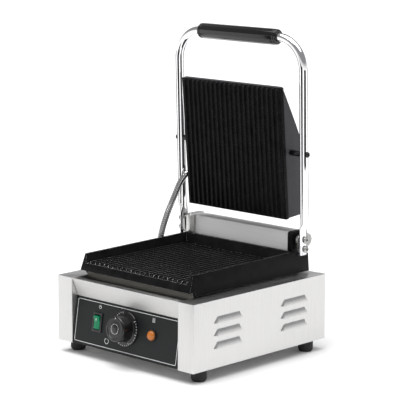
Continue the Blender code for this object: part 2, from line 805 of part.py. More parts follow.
def indicator(parent):
    x, up = LAMP_AT
    facing = Matrix.Translation((x, 0, up)) @ Matrix.Rotation(math.pi / 2, 4, "X")
    wall = 0.0012
    body = turned(
        "indicator_lamp_body",
        [
            (LAMP_RADIUS - wall, 0.0016),
            (LAMP_BEZEL_RADIUS - 0.0006, 0.0016),
            (LAMP_BEZEL_RADIUS, 0.0010),
            (LAMP_BEZEL_RADIUS, GAP),
            (LAMP_RADIUS, GAP),
            (LAMP_RADIUS, -0.020),
            (LAMP_RADIUS - wall, -0.020),
        ],
        facing,
        SWITCH_BLACK,
    )
    reach = LAMP_RADIUS - wall - GAP
    lens = turned(
        "indicator_lens",
        [
            (0, 0.0052),
            (reach * 0.45, 0.0048),
            (reach * 0.80, 0.0036),
            (reach, 0.0018),
            (reach, -0.006),
            (0, -0.006),
        ],
        facing,
        LENS_ORANGE,
    )
    ride(parent, body, lens)


# ---------------------------------------------------------------- lower grill
def rib_bars(name, count, ends, insets, base, top, matrix=None):
    """Parallel tapered bars along Y between two ends, standing on the plane z = base."""
    bm = bmesh.new()
    for i in range(count):
        x = (i - (count - 1) / 2) * RIB_PITCH
        made = bmesh.ops.create_cube(bm, size=1)["verts"]
        for vertex in made:
            upper = vertex.co.z > 0
            width = RIB_TOP if upper else RIB_WIDTH
            shift = insets if upper else (0, 0)
            y = ends[0] + shift[0] if vertex.co.y < 0 else ends[1] - shift[1]
            vertex.co = (x + math.copysign(width / 2, vertex.co.x), y, top if upper else base)
    if matrix:
        bm.transform(matrix)
    return add(name, mesh_of(bm, name))


def lower_grill_plate():
    """Cast pan, open at the front, with a raised shelf behind it for the hinge."""
    outline = [
        (CAST_FRONT_Y + LIP_OVERHANG, CAST_FOOT_Z),
        (CAST_FRONT_Y + LIP_OVERHANG, LIP_Z),
        (CAST_FRONT_Y, LIP_Z),
        (CAST_FRONT_Y + LIP_RAKE, DECK_Z + PAN_WALL_FRONT),
        (PAN_REAR_Y + PAN_WALL_TOP, DECK_Z + PAN_WALL_REAR),
        (PAN_REAR_Y + 2 * PAN_WALL_TOP, SHELF_Z),
        (CAST_REAR_Y, SHELF_Z),
        (CAST_REAR_Y, CAST_FOOT_Z),
    ]
    plate = outline_solid("lower_grill_plate", [outline], 2 * CAST_HALF_WIDTH, plane_x(0), CAST_IRON)
    top_z = DECK_Z + PAN_WALL_REAR
    taper_x(plate, CAST_FOOT_Z, CAST_HALF_WIDTH, top_z, CAST_RIM_HALF)
    pan = [
        (CAST_FRONT_Y - 0.02, PAN_Z),
        (CAST_FRONT_Y - 0.02, top_z + 0.02),
        (PAN_REAR_Y + 0.001, top_z + 0.02),
        (PAN_REAR_Y - 0.003, PAN_Z),
    ]
    floor_half = CAST_RIM_HALF - 2 * PAN_WALL_TOP
    hollow = outline_solid("pan_hollow", [pan], 2 * floor_half, plane_x(0))
    taper_x(hollow, PAN_Z, floor_half, top_z, CAST_RIM_HALF - PAN_WALL_TOP)
    under_half = CAST_HALF_WIDTH - CAST_SIDE_SKIN
    under = box(
        "under_plate",
        (-under_half, CAST_FRONT_Y + LIP_OVERHANG + 0.003, CAST_FOOT_Z - 0.01),
        (under_half, CAST_REAR_Y - CAST_SKIN, PAN_Z - CAST_SKIN),
    )
    shelf = box(
        "under_shelf",
        (-under_half + 0.001, PAN_REAR_Y + 2 * PAN_WALL_TOP + 0.001, CAST_FOOT_Z - 0.005),
        (under_half - 0.001, CAST_REAR_Y - CAST_SKIN - 0.001, SHELF_Z - CAST_SKIN),
    )
    lip_top_y = CAST_FRONT_Y + LIP_RAKE * (PAN_FLOOR - CAST_LIP) / (PAN_WALL_FRONT - CAST_LIP)
    ribs = rib_bars(
        "lower_ribs",
        RIB_COUNT,
        (lip_top_y + GAP, PAN_REAR_Y - 0.0110),
        (RIB_SLOPE, RIB_END),
        PAN_Z - 0.001,
        RIB_TOP_Z,
    )
    cut(plate, hollow, under, shelf)
    unite(plate, ribs)
    pad_x = (CAST_HALF_WIDTH + under_half) / 2
    for side in (-1, 1):
        for end, y in (("front", CAST_FRONT_Y + 0.022), ("rear", CAST_REAR_Y - 0.025)):
            low = (side * pad_x, y, DECK_Z + GAP)
            high = (side * pad_x, y, CAST_FOOT_Z + 0.003)
            unite(plate, rod(f"pad_{end}_{side:+d}", low, high, PAD_RADIUS, SMALL_ROUND))
    clamp_hole = rod(
        "clamp_thread", (0, 0, CAST_FOOT_Z - 0.01), (0, 0, PAN_Z - 0.003), 0.0034, SMALL_ROUND
    )
    cut(plate, clamp_hole)


def serpentine(half, reach, runs, lead):
    """Flat zigzag with round turns, in X and Y, whose ends run out along -Y by `lead`."""
    pitch = 2 * half / (runs - 1)
    radius = pitch / 2
    points = [(-half, -reach - lead)]
    for run in range(runs):
        x = -half + run * pitch
        up = run % 2 == 0
        end = reach - radius if up else -reach + radius
        start = -end if 0 < run else points[0][1]
        points.append((x, start))
        if run == runs - 1:
            points.append((x, -reach - lead))
            break
        points.append((x, end))
        for step in range(1, 6):
            angle = math.pi * step / 6
            rise = radius * math.sin(angle) * (1 if up else -1)
            points.append((x + radius - radius * math.cos(angle), end + rise))
    tidy = [points[0]]
    for point in points[1:]:
        if math.dist(point, tidy[-1]) > 1e-5:
            tidy.append(point)
    return tidy


def clamp_outlines():
    """The plate that holds an element down, and its screw hole."""
    x, y = CLAMP_HALF
    return [rectangle(-x, -y, x, y), circle(0, 0, CLAMP_HOLE, SMALL_ROUND)]


def lower_element():
    z = PAN_Z - CAST_SKIN - GAP - ELEMENT_RADIUS
    flat = serpentine(ELEMENT_HALF, 0.082, ELEMENT_RUNS, 0.0)
    points = [Vector((x, y, z)) for x, y in flat]
    start, end = points[0].copy(), points[-1].copy()
    drop = Vector((0, 0, -0.020))
    points = [start + drop, *points, end + drop]
    wire("lower_heating_element", points, ELEMENT_RADIUS, 2, ELEMENT_GREY)
    clamp_top = z - ELEMENT_RADIUS - GAP
    middle = plane_z(clamp_top - CLAMP_SHEET / 2)
    outline_solid("lower_element_clamp", clamp_outlines(), CLAMP_SHEET, middle, STEEL)
    turned(
        "clamp_screw",
        [
            (0, PAN_Z - 0.0045),
            (0.0031, PAN_Z - 0.0045),
            (0.0031, clamp_top - CLAMP_SHEET - GAP),
            (0.0065, clamp_top - CLAMP_SHEET - GAP),
            (0.0065, clamp_top - 0.0075),
            (0, clamp_top - 0.0075),
        ],
        Matrix.Identity(4),
        STEEL,
        SMALL_ROUND,
    )


def thermostat_sensor():
    """Sensing bulb under the plate and the thin line that joins it to the thermostat."""
    bulb_z = PAN_Z - CAST_SKIN - GAP - 0.003
    bulb_y = -0.010
    rod(
        "thermostat_bulb",
        (0.012, bulb_y, bulb_z),
        (0.012, bulb_y + 0.045, bulb_z),
        0.003,
        SMALL_ROUND,
        COPPER,
    )
    behind = BACKING_W + GAP + THERMOSTAT_SIZE[1] + GAP
    start = panel_place() @ Vector((KNOB_AT[0] + 0.008, behind, KNOB_AT[1] + 0.008))
    end = Vector((0.012, bulb_y - GAP, bulb_z))
    under_z = bulb_z - 0.0065
    points = [
        start,
        start + Vector((0, 0.008, 0.002)),
        Vector((end.x, CAST_FRONT_Y + 0.037, under_z - 0.006)),
        Vector((end.x, end.y - 0.068, under_z)),
        Vector((end.x, end.y - 0.050, bulb_z)),
        end - Vector((0, 0.010, 0)),
        end,
    ]
    wire("thermostat_capillary", smooth(points, 3), 0.001, 1, COPPER)


# ---------------------------------------------------------------- hinge
def hinge_block(name, side, finish):
    low_y = HINGE_Y - BLOCK_LENGTH * 0.66
    high_y = HINGE_Y + BLOCK_LENGTH * 0.34
    high_z = HINGE_Z + BLOCK_TOP
    corner = 0.008
    outline = [
        (low_y, SHELF_Z + GAP),
        (high_y, SHELF_Z + GAP),
        (high_y, high_z - corner),
        (high_y - corner, high_z),
        (low_y + 0.003, high_z),
        (low_y, high_z - 0.003),
    ]
    hole = circle(HINGE_Y, HINGE_Z, SHAFT_RADIUS + SHAFT_PLAY)
    middle = side * (BLOCK_OUTER - BLOCK_WIDTH / 2)
    block = outline_solid(name, [outline, hole], BLOCK_WIDTH, plane_x(middle), finish)
    clear = box(
        name + "_wall_clearance",
        (-CAST_HALF_WIDTH, low_y - 0.01, SHELF_Z - 0.01),
        (CAST_HALF_WIDTH, PAN_REAR_Y + 2 * PAN_WALL_TOP + GAP, DECK_Z + PAN_WALL_REAR + GAP),
    )
    cut(block, clear)


def hinge_blocks_and_shaft():
    for name, side, finish in (("left", -1, STAINLESS), ("right", 1, CAST_IRON)):
        hinge_block("hinge_block_" + name, side, finish)
        inner = BLOCK_OUTER + GAP
        turned(
            "thrust_washer_" + name,
            [
                (SHAFT_RADIUS + GAP, LUG_INNER - GAP - inner),
                (WASHER_RADIUS, LUG_INNER - GAP - inner),
                (WASHER_RADIUS, 0),
                (SHAFT_RADIUS + GAP, 0),
            ],
            axis_x(side * inner, HINGE_Y, HINGE_Z, side),
            STEEL,
        )
        torsion_spring("torsion_spring_" + name, side)
    rod(
        "hinge_shaft",
        (-LUG_OUTER + GAP, HINGE_Y, HINGE_Z),
        (LUG_OUTER - GAP, HINGE_Y, HINGE_Z),
        SHAFT_RADIUS,
        ROUND,
        STEEL,
    )


def torsion_spring(name, side):
    """Coil round the shaft; one leg rests on the shelf and the other under the cover."""
    per_turn = 10
    points = []
    for i in range(SPRING_TURNS * per_turn + 1):
        angle = 2 * math.pi * i / per_turn
        x = side * (SPRING_START + SPRING_PITCH * i / per_turn)
        y = HINGE_Y - SPRING_COIL * math.cos(angle)
        points.append((x, y, HINGE_Z - SPRING_COIL * math.sin(angle)))
    leg = (points[0][0], points[0][1], SHELF_Z + 0.002)
    tail = (points[-1][0], points[-1][1], HINGE_Z + COVER_TOP - SHEET - 0.0022)
    points = [leg, *points, tail]
    wire(name, points, SPRING_WIRE, 2, STEEL)


def spring_box_cover():
    """Folded sheet over the shaft and springs, open below and at its ends."""
    low_z = SHELF_Z + GAP
    front = HINGE_Y - COVER_FRONT
    back = HINGE_Y + COVER_BEHIND
    high_z = HINGE_Z + COVER_TOP
    outline = [
        (front - 0.0015, low_z),
        (front, high_z),
        (back, high_z),
        (back, low_z),
        (back - SHEET, low_z),
        (back - SHEET, high_z - SHEET),
        (front + SHEET, high_z - SHEET),
        (front + SHEET - 0.0015, low_z),
    ]
    outline_solid("spring_box_cover", [outline], 2 * COVER_HALF, plane_x(0), STAINLESS)


# ---------------------------------------------------------------- arm
def arm_frame():
    """Origin on the hinge axis; local +Z runs up the legs."""
    return frame("arm_frame", (0, HINGE_Y, HINGE_Z), ARM_LEAN)


def handle_tube(parent):
    corners = 8
    bend = ARM_BEND
    top = ARM_REACH
    points = []
    for side in (-1, 1):
        arc = [
            (
                side * (LEG_X - bend + bend * math.cos(math.pi / 2 * i / corners)),
                top - bend + bend * math.sin(math.pi / 2 * i / corners),
            )
            for i in range(corners + 1)
        ]
        rings = [(side * LEG_X, z) for z in (-LEG_DROP, FLAT_TOP, FLAT_TOP + FLAT_RUN)]
        run = [*rings, *arc]
        points += run if side < 0 else run[::-1]
    tube = wire("handle_tube", [(x, -ARM_OFFSET, z) for x, z in points], TUBE_RADIUS, 6, CHROME)
    flatten_ends(tube)
    places = [*ARM_BOLTS, PIVOT_REACH]
    holes = []
    for side in (-1, 1):
        for count, z in enumerate(places):
            play = GAP if count < len(ARM_BOLTS) else SHAFT_PLAY
            holes.append(
                rod(
                    f"tube_hole_{side:+d}_{count}",
                    (side * (LEG_X - 0.02), -ARM_OFFSET, z),
                    (side * (LEG_X + 0.02), -ARM_OFFSET, z),
                    BOLT_RADIUS + play,
                    16,
                )
            )
    cut(tube, *holes)
    ride(parent, tube, *holes)


def flatten_ends(tube):
    """Presses the legs' lower ends flat against their inner faces."""
    for vertex in tube.data.vertices:
        if vertex.co.z > FLAT_TOP + FLAT_RUN / 2:
            continue
        inner = math.copysign(LEG_X - TUBE_RADIUS, vertex.co.x)
        vertex.co.x = inner + (vertex.co.x - inner) * TUBE_FLAT / (2 * TUBE_RADIUS)
        vertex.co.y = -ARM_OFFSET + (vertex.co.y + ARM_OFFSET) * TUBE_SPREAD


def handle_grip(parent):
    outline = []
    for i in range(GRIP_FLUTES * 2):
        angle = math.pi * i / GRIP_FLUTES
        radius = GRIP_RADIUS if i % 2 else GRIP_RADIUS - 0.0006
        across = -ARM_OFFSET + radius * math.cos(angle)
        outline.append((across, ARM_REACH + radius * math.sin(angle)))
    hole = circle(-ARM_OFFSET, ARM_REACH, TUBE_RADIUS + GAP, 16)
    grip = outline_solid("handle_grip", [outline, hole], GRIP_LENGTH, plane_x(0), GRIP_BLACK)
    ride(parent, grip)


def arm_lug(parent, name, side):
    """Plate that joins the hinge shaft to the leg."""
    round_points = circle(0, 0, 0.0105, 16)
    for z in ARM_BOLTS:
        round_points += circle(-ARM_OFFSET, z, 0.0075, 16)
    holes = [circle(0, 0, SHAFT_RADIUS + GAP)]
    holes += [circle(-ARM_OFFSET, z, BOLT_RADIUS + GAP, 16) for z in ARM_BOLTS]
    middle = side * (LUG_INNER + LUG_OUTER) / 2
    shape = [hull(round_points), *holes]
    lug = outline_solid(name, shape, LUG_THICKNESS, plane_x(middle), STEEL)
    ride(parent, lug)


def bolt_profile(shank, head):
    """Head of this radius outward (up), shank down."""
    return [
        (0, BOLT_HEAD),
        (head * 0.7, BOLT_HEAD),
        (head, BOLT_HEAD * 0.55),
        (head, 0),
        (BOLT_RADIUS, 0),
        (BOLT_RADIUS, -shank),
        (0, -shank),
    ]


def arm_bolts(parent, name, side):
    head_at = LEG_X - TUBE_RADIUS + TUBE_FLAT + GAP
    shank = head_at - LUG_INNER - GAP
    for label, z in zip(("lower", "upper"), ARM_BOLTS):
        bolt = turned(
            f"arm_bolt_{label}_{name}",
            bolt_profile(shank, BOLT_HEAD_RADIUS),
            axis_x(side * head_at, -ARM_OFFSET, z, side),
            STEEL,
            SMALL_ROUND,
        )
        ride(parent, bolt)


def arm(parent):
    handle_tube(parent)
    handle_grip(parent)
    for name, side in (("left", -1), ("right", 1)):
        arm_lug(parent, "arm_lug_" + name, side)
        arm_bolts(parent, name, side)


# ---------------------------------------------------------------- upper grill
def upper_frame(parent):
    """Origin on the pivot axis; local +Z up the plate, local -Y out of its ribbed face."""
    empty = frame("upper_plate_frame", (0, -ARM_OFFSET, PIVOT_REACH), PLATE_LEAN)
    empty.parent = parent
    return empty


def upper_grill_plate(parent):
    plate = box(
        "upper_grill_plate",
        (-PLATE_HALF, RIB_BASE, -UPPER_TOP),
        (PLATE_HALF, CAST_BACK, UPPER_TOP),
        CAST_IRON,
    )
    turn = Matrix.Rotation(math.pi / 2, 4, "X")
    ribs = rib_bars(
        "upper_ribs",
        UPPER_RIB_COUNT,
        (-UPPER_TOP + 0.0005, UPPER_TOP - 0.0005),
        (RIB_END, RIB_END),
        -RIB_BASE - 0.001,
        FACE_AHEAD,
        turn,
    )
    unite(plate, ribs)
    ears, threads = [], []
    for side in (-1, 1):
        inner = PLATE_HALF - COVER_WALL - GAP
        ends = sorted((side * inner, side * (inner - 0.010)))
        ears.append(
            box(
                f"ear_{side:+d}",
                (ends[0], CAST_BACK - 0.001, -EAR_HALF),
                (ends[1], EAR_HALF, EAR_HALF),
            )
        )
        threads.append(
            rod(
                f"ear_thread_{side:+d}",
                (side * (inner - 0.008), 0, 0),
                (side * (inner + 0.005), 0, 0),
                BOLT_RADIUS + GAP,
                16,
            )
        )
    unite(plate, *ears)
    cut(plate, *threads)
    ride(parent, plate, ribs, *ears, *threads)


def cover_outline(inset, open_front):
    """Side view of the upper cover; `inset` shrinks it by a wall."""
    front = CAST_BACK + GAP
    top = UPPER_TOP - inset
    back = COVER_BACK - inset
    chamfer_y = -FACE_AHEAD + CHAMFER_DEPTH - inset * 1.1
    chamfer_z = UPPER_TOP - CHAMFER_LENGTH - inset * 0.4
    start = front - 0.01 if open_front else front
    lip = front + 0.0015
    return [
        (start, -UPPER_TOP + inset),
        (back, -UPPER_TOP + inset),
        (back, chamfer_z - 0.022),
        (chamfer_y, chamfer_z),
        (lip, top - inset * 0.6),
        (start, top - inset * 0.6),
    ]


def upper_cover(parent):
    width = 2 * PLATE_HALF
    cover = outline_solid("upper_cover", [cover_outline(0, False)], width, plane_x(0), COVER_PAINT)
    hollow = outline_solid(
        "cover_hollow", [cover_outline(COVER_WALL, True)], width - 2 * COVER_WALL, plane_x(0)
    )
    cut(cover, hollow)
    holes = []
    for side in (-1, 1):
        holes.append(
            rod(
                f"cover_pivot_hole_{side:+d}",
                (side * (PLATE_HALF - 0.005), 0, 0),
                (side * (PLATE_HALF + 0.005), 0, 0),
                BOLT_RADIUS + GAP,
                16,
            )
        )
    entry = conduit_entry()
    holes.append(
        rod(
            "cover_conduit_hole",
            (-PLATE_HALF - 0.005, entry[1], entry[2]),
            (-PLATE_HALF + 0.005, entry[1], entry[2]),
            0.0045,
            16,
        )
    )
    cut(cover, *holes)
    ride(parent, cover, hollow, *holes)


def upper_heating(parent):
    element_y = CAST_BACK + GAP + ELEMENT_RADIUS
    flat = serpentine(ELEMENT_HALF, 0.085, ELEMENT_RUNS, 0.0)
    points = [Vector((x, element_y, up)) for x, up in flat]
    back = Vector((0, 0.012, 0))
    element = wire(
        "upper_heating_element",
        [points[0] + back, *points, points[-1] + back],
        ELEMENT_RADIUS,
        2,
        ELEMENT_GREY,
    )
    clamp_y = element_y + ELEMENT_RADIUS + GAP
    clamp = outline_solid(
        "upper_element_clamp",
        clamp_outlines(),
        CLAMP_SHEET,
        plane_y(clamp_y + CLAMP_SHEET / 2),
        STEEL,
    )
    wool_y = clamp_y + CLAMP_SHEET + GAP
    wool_half = PLATE_HALF - WOOL_INSET
    wool = box(
        "upper_insulation",
        (-wool_half, wool_y, -0.070),
        (wool_half, wool_y + WOOL_THICKNESS, 0.045),
        MINERAL_WOOL,
    )
    ride(parent, element, clamp, wool)


def pivot_bolts(parent):
    head_at = LEG_X + TUBE_RADIUS + SHAFT_PLAY
    for name, side in (("left", -1), ("right", 1)):
        tip = PLATE_HALF - COVER_WALL - 0.007
        bolt = turned(
            "pivot_bolt_" + name,
            bolt_profile(head_at - tip, PIVOT_HEAD_RADIUS),
            axis_x(side * head_at, 0, 0, side),
            BLACK_STEEL,
            16,
        )
        start = PLATE_HALF + GAP
        sleeve = turned(
            "pivot_sleeve_" + name,
            [
                (BOLT_RADIUS + GAP, LEG_X - TUBE_RADIUS - SHAFT_PLAY - start),
                (SLEEVE_RADIUS, LEG_X - TUBE_RADIUS - SHAFT_PLAY - start),
                (SLEEVE_RADIUS, 0),
                (BOLT_RADIUS + GAP, 0),
            ],
            axis_x(side * start, 0, 0, side),
            BLACK_STEEL,
            16,
        )
        ride(parent, bolt, sleeve)


# ---------------------------------------------------------------- conduit and supply
def conduit_lower_place():
    """Where the conduit leaves the deck, beside the pan's left wall."""
    return (-LEG_X, HINGE_Y - 0.0735, DECK_Z)


def elbow_box():
    """Corners of the elbow that takes the conduit into the cover's left side, upper frame."""
    outer = -PLATE_HALF - GAP
    low = (outer - ELBOW_SIZE[0], ELBOW_FRONT, ELBOW_UP - ELBOW_SIZE[2] / 2)
    high = (outer, ELBOW_FRONT + ELBOW_SIZE[1], ELBOW_UP + ELBOW_SIZE[2] / 2)
    return Vector(low), Vector(high)


def conduit_entry():
    """Centre of the hole in the cover's left side, in the upper frame."""
    low, high = elbow_box()
    return (-PLATE_HALF, (low.y + high.y) / 2, ELBOW_UP)


def conduit(parent):
    """Flexible metal conduit from the deck to the upper cover, in front of the left leg."""
    x, y, z = conduit_lower_place()
    fitting_top = z + CONDUIT_FITTING_HEIGHT
    bore = CONDUIT_RADIUS - 0.0012
    turned(
        "conduit_fitting_lower",
        [
            (bore, CONDUIT_FITTING_HEIGHT),
            (CONDUIT_FITTING_RADIUS - 0.0015, CONDUIT_FITTING_HEIGHT),
            (CONDUIT_FITTING_RADIUS - 0.0015, 0.0065),
            (CONDUIT_FITTING_RADIUS, 0.0060),
            (CONDUIT_FITTING_RADIUS, GAP),
            (CONDUIT_RADIUS + 0.0008, GAP),
            (CONDUIT_RADIUS + 0.0008, -0.006),
            (bore, -0.006),
        ],
        Matrix.Translation((x, y, z)),
        STEEL,
        16,
    )
    low, high = elbow_box()
    elbow = box("conduit_elbow", low, high, SWITCH_BLACK)
    entry = Vector(conduit_entry())
    ends = (entry - Vector((0.002, 0, 0)), entry + Vector((0.004, 0, 0)))
    stub = rod("elbow_stub", *ends, 0.0042, 16)
    unite(elbow, stub)
    ride(parent, elbow, stub)
    # Offsets from the hinge axis: x is inward from the leg, then y and z
    bends = [
        (0.0000, -0.0720, -0.0315),
        (0.0000, -0.0680, -0.0175),
        (0.0000, -0.0630, -0.0035),
        (0.0010, -0.0555, 0.0145),
        (0.0027, -0.0470, 0.0325),
        (0.0062, -0.0405, 0.0495),
        (0.0095, -0.0365, 0.0625),
        (0.0140, -0.0325, 0.0730),
        (0.0180, -0.0280, 0.0810),
    ]
    middle = [Vector((-LEG_X + inward, HINGE_Y + y, HINGE_Z + z)) for inward, y, z in bends]
    straight = 0.004
    start = Vector((x, y, fitting_top + GAP))
    mouth = Vector(((low.x + high.x) / 2, low.y - GAP, ELBOW_UP))
    place = upper_place()
    approach = place @ (mouth - Vector((0, straight, 0)))
    inner = smooth([start + Vector((0, 0, straight)), *middle, approach], 3)
    wire("conduit", [start, *inner, place @ mouth], CONDUIT_RADIUS, 3, STEEL)


def upper_place():
    """World place of the upper frame, from the same values as its empties."""
    arm_place = Matrix.Translation((0, HINGE_Y, HINGE_Z)) @ Matrix.Rotation(ARM_LEAN, 4, "X")
    step = Matrix.Translation((0, -ARM_OFFSET, PIVOT_REACH)) @ Matrix.Rotation(PLATE_LEAN, 4, "X")
    return arm_place @ step


def smooth(points, per_span):
    """Catmull-Rom points through the route's own points."""
    route = [points[0] * 2 - points[1], *points, points[-1] * 2 - points[-2]]
    found = []
    for a, b, c, d in zip(route, route[1:], route[2:], route[3:]):
        for step in range(per_span):
            t = step / per_span
            found.append(
                0.5
                * (
                    2 * b
                    + (c - a) * t
                    + (2 * a - 5 * b + 4 * c - d) * t**2
                    + (3 * b - a - 3 * c + d) * t**3
                )
            )
    return [*found, points[-1]]


def supply_inlet():
    z = gland_hole_z()
    back = REAR_Y - SHEET - GAP
    neck = GLAND_RADIUS - 0.0020
    facing = Matrix.Translation((GLAND_X, back, z)) @ Matrix.Rotation(-math.pi / 2, 4, "X")
    turned(
        "cable_gland",
        [
            (GLAND_BORE, GLAND_LENGTH),
            (GLAND_BORE + 0.0020, GLAND_LENGTH),
            (GLAND_RADIUS - 0.0015, GLAND_LENGTH - 0.0035),
            (GLAND_RADIUS - 0.0010, 0.0070),
            (GLAND_RADIUS + 0.0010, 0.0065),
            (GLAND_RADIUS + 0.0010, GAP),
            (neck, GAP),
            (neck, -0.010),
            (GLAND_BORE, -0.010),
        ],
        facing,
        SWITCH_BLACK,
    )
    nut = 0.005
    outline_solid(
        "gland_lock_nut",
        [circle(GLAND_X, z, GLAND_RADIUS + 0.0025, 6), circle(GLAND_X, z, neck + GAP)],
        nut,
        plane_y(back - SHEET - GAP - nut / 2),
        SWITCH_BLACK,
    )
    low = BOTTOM_Z + SHEET + GAP
    block = box("terminal_block", (-0.060, 0.070, low), (-0.020, 0.090, low + 0.020), CERAMIC)
    for count in range(3):
        x = -0.0533 + 0.0133 * count
        ends = ((x - 0.003, 0.060, low + 0.006), (x + 0.003, 0.100, low + 0.030))
        cut(block, box(f"terminal_channel_{count}", *ends))


# ---------------------------------------------------------------- assembly
def build():
    feet_and_screws()
    bottom_plate()
    side_panel("left_side_panel", -1)
    side_panel("right_side_panel", 1)
    rear_panel()
    deck()
    grease_tray()
    panel = panel_frame()
    control_panel(panel)
    switch(panel)
    thermostat(panel)
    indicator(panel)
    lower_grill_plate()
    lower_element()
    thermostat_sensor()
    hinge_blocks_and_shaft()
    spring_box_cover()
    arm_empty = arm_frame()
    arm(arm_empty)
    upper = upper_frame(arm_empty)
    upper_grill_plate(upper)
    upper_cover(upper)
    upper_heating(upper)
    pivot_bolts(upper)
    conduit(upper)
    supply_inlet()
    for obj in PARTS.objects:
        if obj.type == "MESH":
            obj.data.shade_smooth()
            obj.data.set_sharp_from_angle(angle=math.radians(40))


build()
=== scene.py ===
"""Looks of the panini press: a contact grill with a stainless housing and cast plates."""

import json
import math

import bpy
from mathutils import Matrix, Vector


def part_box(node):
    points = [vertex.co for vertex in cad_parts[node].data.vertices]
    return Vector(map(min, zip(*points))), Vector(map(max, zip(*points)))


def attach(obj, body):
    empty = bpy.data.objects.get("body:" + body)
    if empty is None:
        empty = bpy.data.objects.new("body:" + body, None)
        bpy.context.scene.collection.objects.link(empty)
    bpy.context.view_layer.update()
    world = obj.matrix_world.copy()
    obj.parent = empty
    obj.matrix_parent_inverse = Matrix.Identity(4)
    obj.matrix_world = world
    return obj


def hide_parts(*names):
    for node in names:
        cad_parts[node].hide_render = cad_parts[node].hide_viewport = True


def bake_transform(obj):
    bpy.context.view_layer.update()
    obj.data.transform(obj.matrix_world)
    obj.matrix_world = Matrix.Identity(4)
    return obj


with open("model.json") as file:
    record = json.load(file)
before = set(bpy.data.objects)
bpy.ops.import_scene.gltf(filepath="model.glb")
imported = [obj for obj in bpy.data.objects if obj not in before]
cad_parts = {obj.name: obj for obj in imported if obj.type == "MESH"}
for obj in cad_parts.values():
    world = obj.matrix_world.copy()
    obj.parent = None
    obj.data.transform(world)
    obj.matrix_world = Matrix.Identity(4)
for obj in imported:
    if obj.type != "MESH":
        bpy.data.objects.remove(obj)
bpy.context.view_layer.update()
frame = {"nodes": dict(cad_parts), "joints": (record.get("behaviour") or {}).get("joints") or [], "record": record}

NODES = frame["nodes"]


# ---------------------------------------------------------------- studio
VIEW_AZIMUTH = math.radians(43.369)  # from -Y towards +X
VIEW_ELEVATION = math.radians(10.208)
VIEW_ROLL = math.radians(0.349)
VIEW_LENS = 165.36  # on a sensor 36 wide, both in millimetres
VIEW_DISTANCE = 2.9653
VIEW_SHIFT = (0.01303, 0.22324)  # right and up of the point that the lens looks past
VIEW_BASE = Vector((0, 0, 0.0186))


def camera():
    """Long lens, from the front right and a little above."""
    azimuth, elevation, roll = VIEW_AZIMUTH, VIEW_ELEVATION, VIEW_ROLL
    back = Vector(
        (
            math.sin(azimuth) * math.cos(elevation),
            -math.cos(azimuth) * math.cos(elevation),
            math.sin(elevation),
        )
    )
    level = Vector((0, 0, 1)).cross(back).normalized()
    above = back.cross(level)
    right = math.cos(roll) * level + math.sin(roll) * above
    up = -math.sin(roll) * level + math.cos(roll) * above
    data = bpy.data.cameras.new("studio_camera")
    data.lens = VIEW_LENS
    data.sensor_width = 36
    data.clip_end = 200
    made = bpy.data.objects.new("studio_camera", data)
    bpy.context.scene.collection.objects.link(made)
    turn = Matrix((right, up, back)).transposed().to_4x4()
    place = right * VIEW_SHIFT[0] + up * VIEW_SHIFT[1] + back * VIEW_DISTANCE + VIEW_BASE
    made.matrix_world = Matrix.Translation(place) @ turn
    bpy.context.scene.camera = made


FACING = 46.0  # azimuth that the cards stand at, from -Y towards +X
CARD_NEAR = 0.8
CARD_FAR = 12.0
CARD_HEIGHT = 0.004
FLOOR_SIZE = 60
FLOOR_GAP = 0.0002  # below the feet


def flat_paint(name, shade, roughness, specular):
    """A plain grey paint for what stands around the part."""
    paint = bpy.data.materials.new(name)
    paint.use_nodes = True
    shader = paint.node_tree.nodes["Principled BSDF"]
    shader.inputs["Base Color"].default_value = (shade, shade, shade, 1)
    shader.inputs["Roughness"].default_value = roughness
    shader.inputs["Specular IOR Level"].default_value = specular
    return paint


def studio():
    """White floor, a bright surround that darkens overhead, two soft lamps and dark cards."""
    bpy.context.scene.view_settings.view_transform = "Standard"
    bpy.ops.mesh.primitive_plane_add(size=FLOOR_SIZE, location=(0, 0, -FLOOR_GAP))
    floor = bpy.context.object
    floor.name = "floor"
    floor.data.materials.append(flat_paint("white_floor", 0.93, 0.9, 0.1))

    world = bpy.data.worlds.new("surround")
    world.use_nodes = True
    bpy.context.scene.world = world
    tree = world.node_tree
    background = tree.nodes["Background"]
    place = tree.nodes.new("ShaderNodeTexCoord")
    split = tree.nodes.new("ShaderNodeSeparateXYZ")
    tree.links.new(place.outputs["Generated"], split.inputs[0])
    height = tree.nodes.new("ShaderNodeValToRGB")
    height.color_ramp.elements[0].position = 0.05
    height.color_ramp.elements[0].color = (1, 1, 1, 1)
    height.color_ramp.elements[1].position = 0.27
    height.color_ramp.elements[1].color = (0.30, 0.30, 0.31, 1)
    tree.links.new(split.outputs["Z"], height.inputs[0])
    tree.links.new(height.outputs[0], background.inputs["Color"])
    background.inputs["Strength"].default_value = 1.0

    sunlight("key_light", (-0.15, -0.28, 1.0), 50, 2.4)
    sunlight("fill_light", (0.25, 0.10, 1.0), 60, 1.3)
    for name, start, end in (
        ("card_left", -74, -24),
        ("card_right", 14, 62),
        ("card_far_left", -156, -120),
        ("card_far_right", 120, 156),
    ):
        dark_card(name, FACING + start, FACING + end)


def sunlight(name, towards, spread, strength):
    """A distant lamp as wide as a window, so its shadows stay soft."""
    data = bpy.data.lights.new(name, "SUN")
    data.angle = math.radians(spread)
    data.energy = strength
    made = bpy.data.objects.new(name, data)
    bpy.context.scene.collection.objects.link(made)
    made.rotation_euler = Vector(towards).to_track_quat("Z", "Y").to_euler()


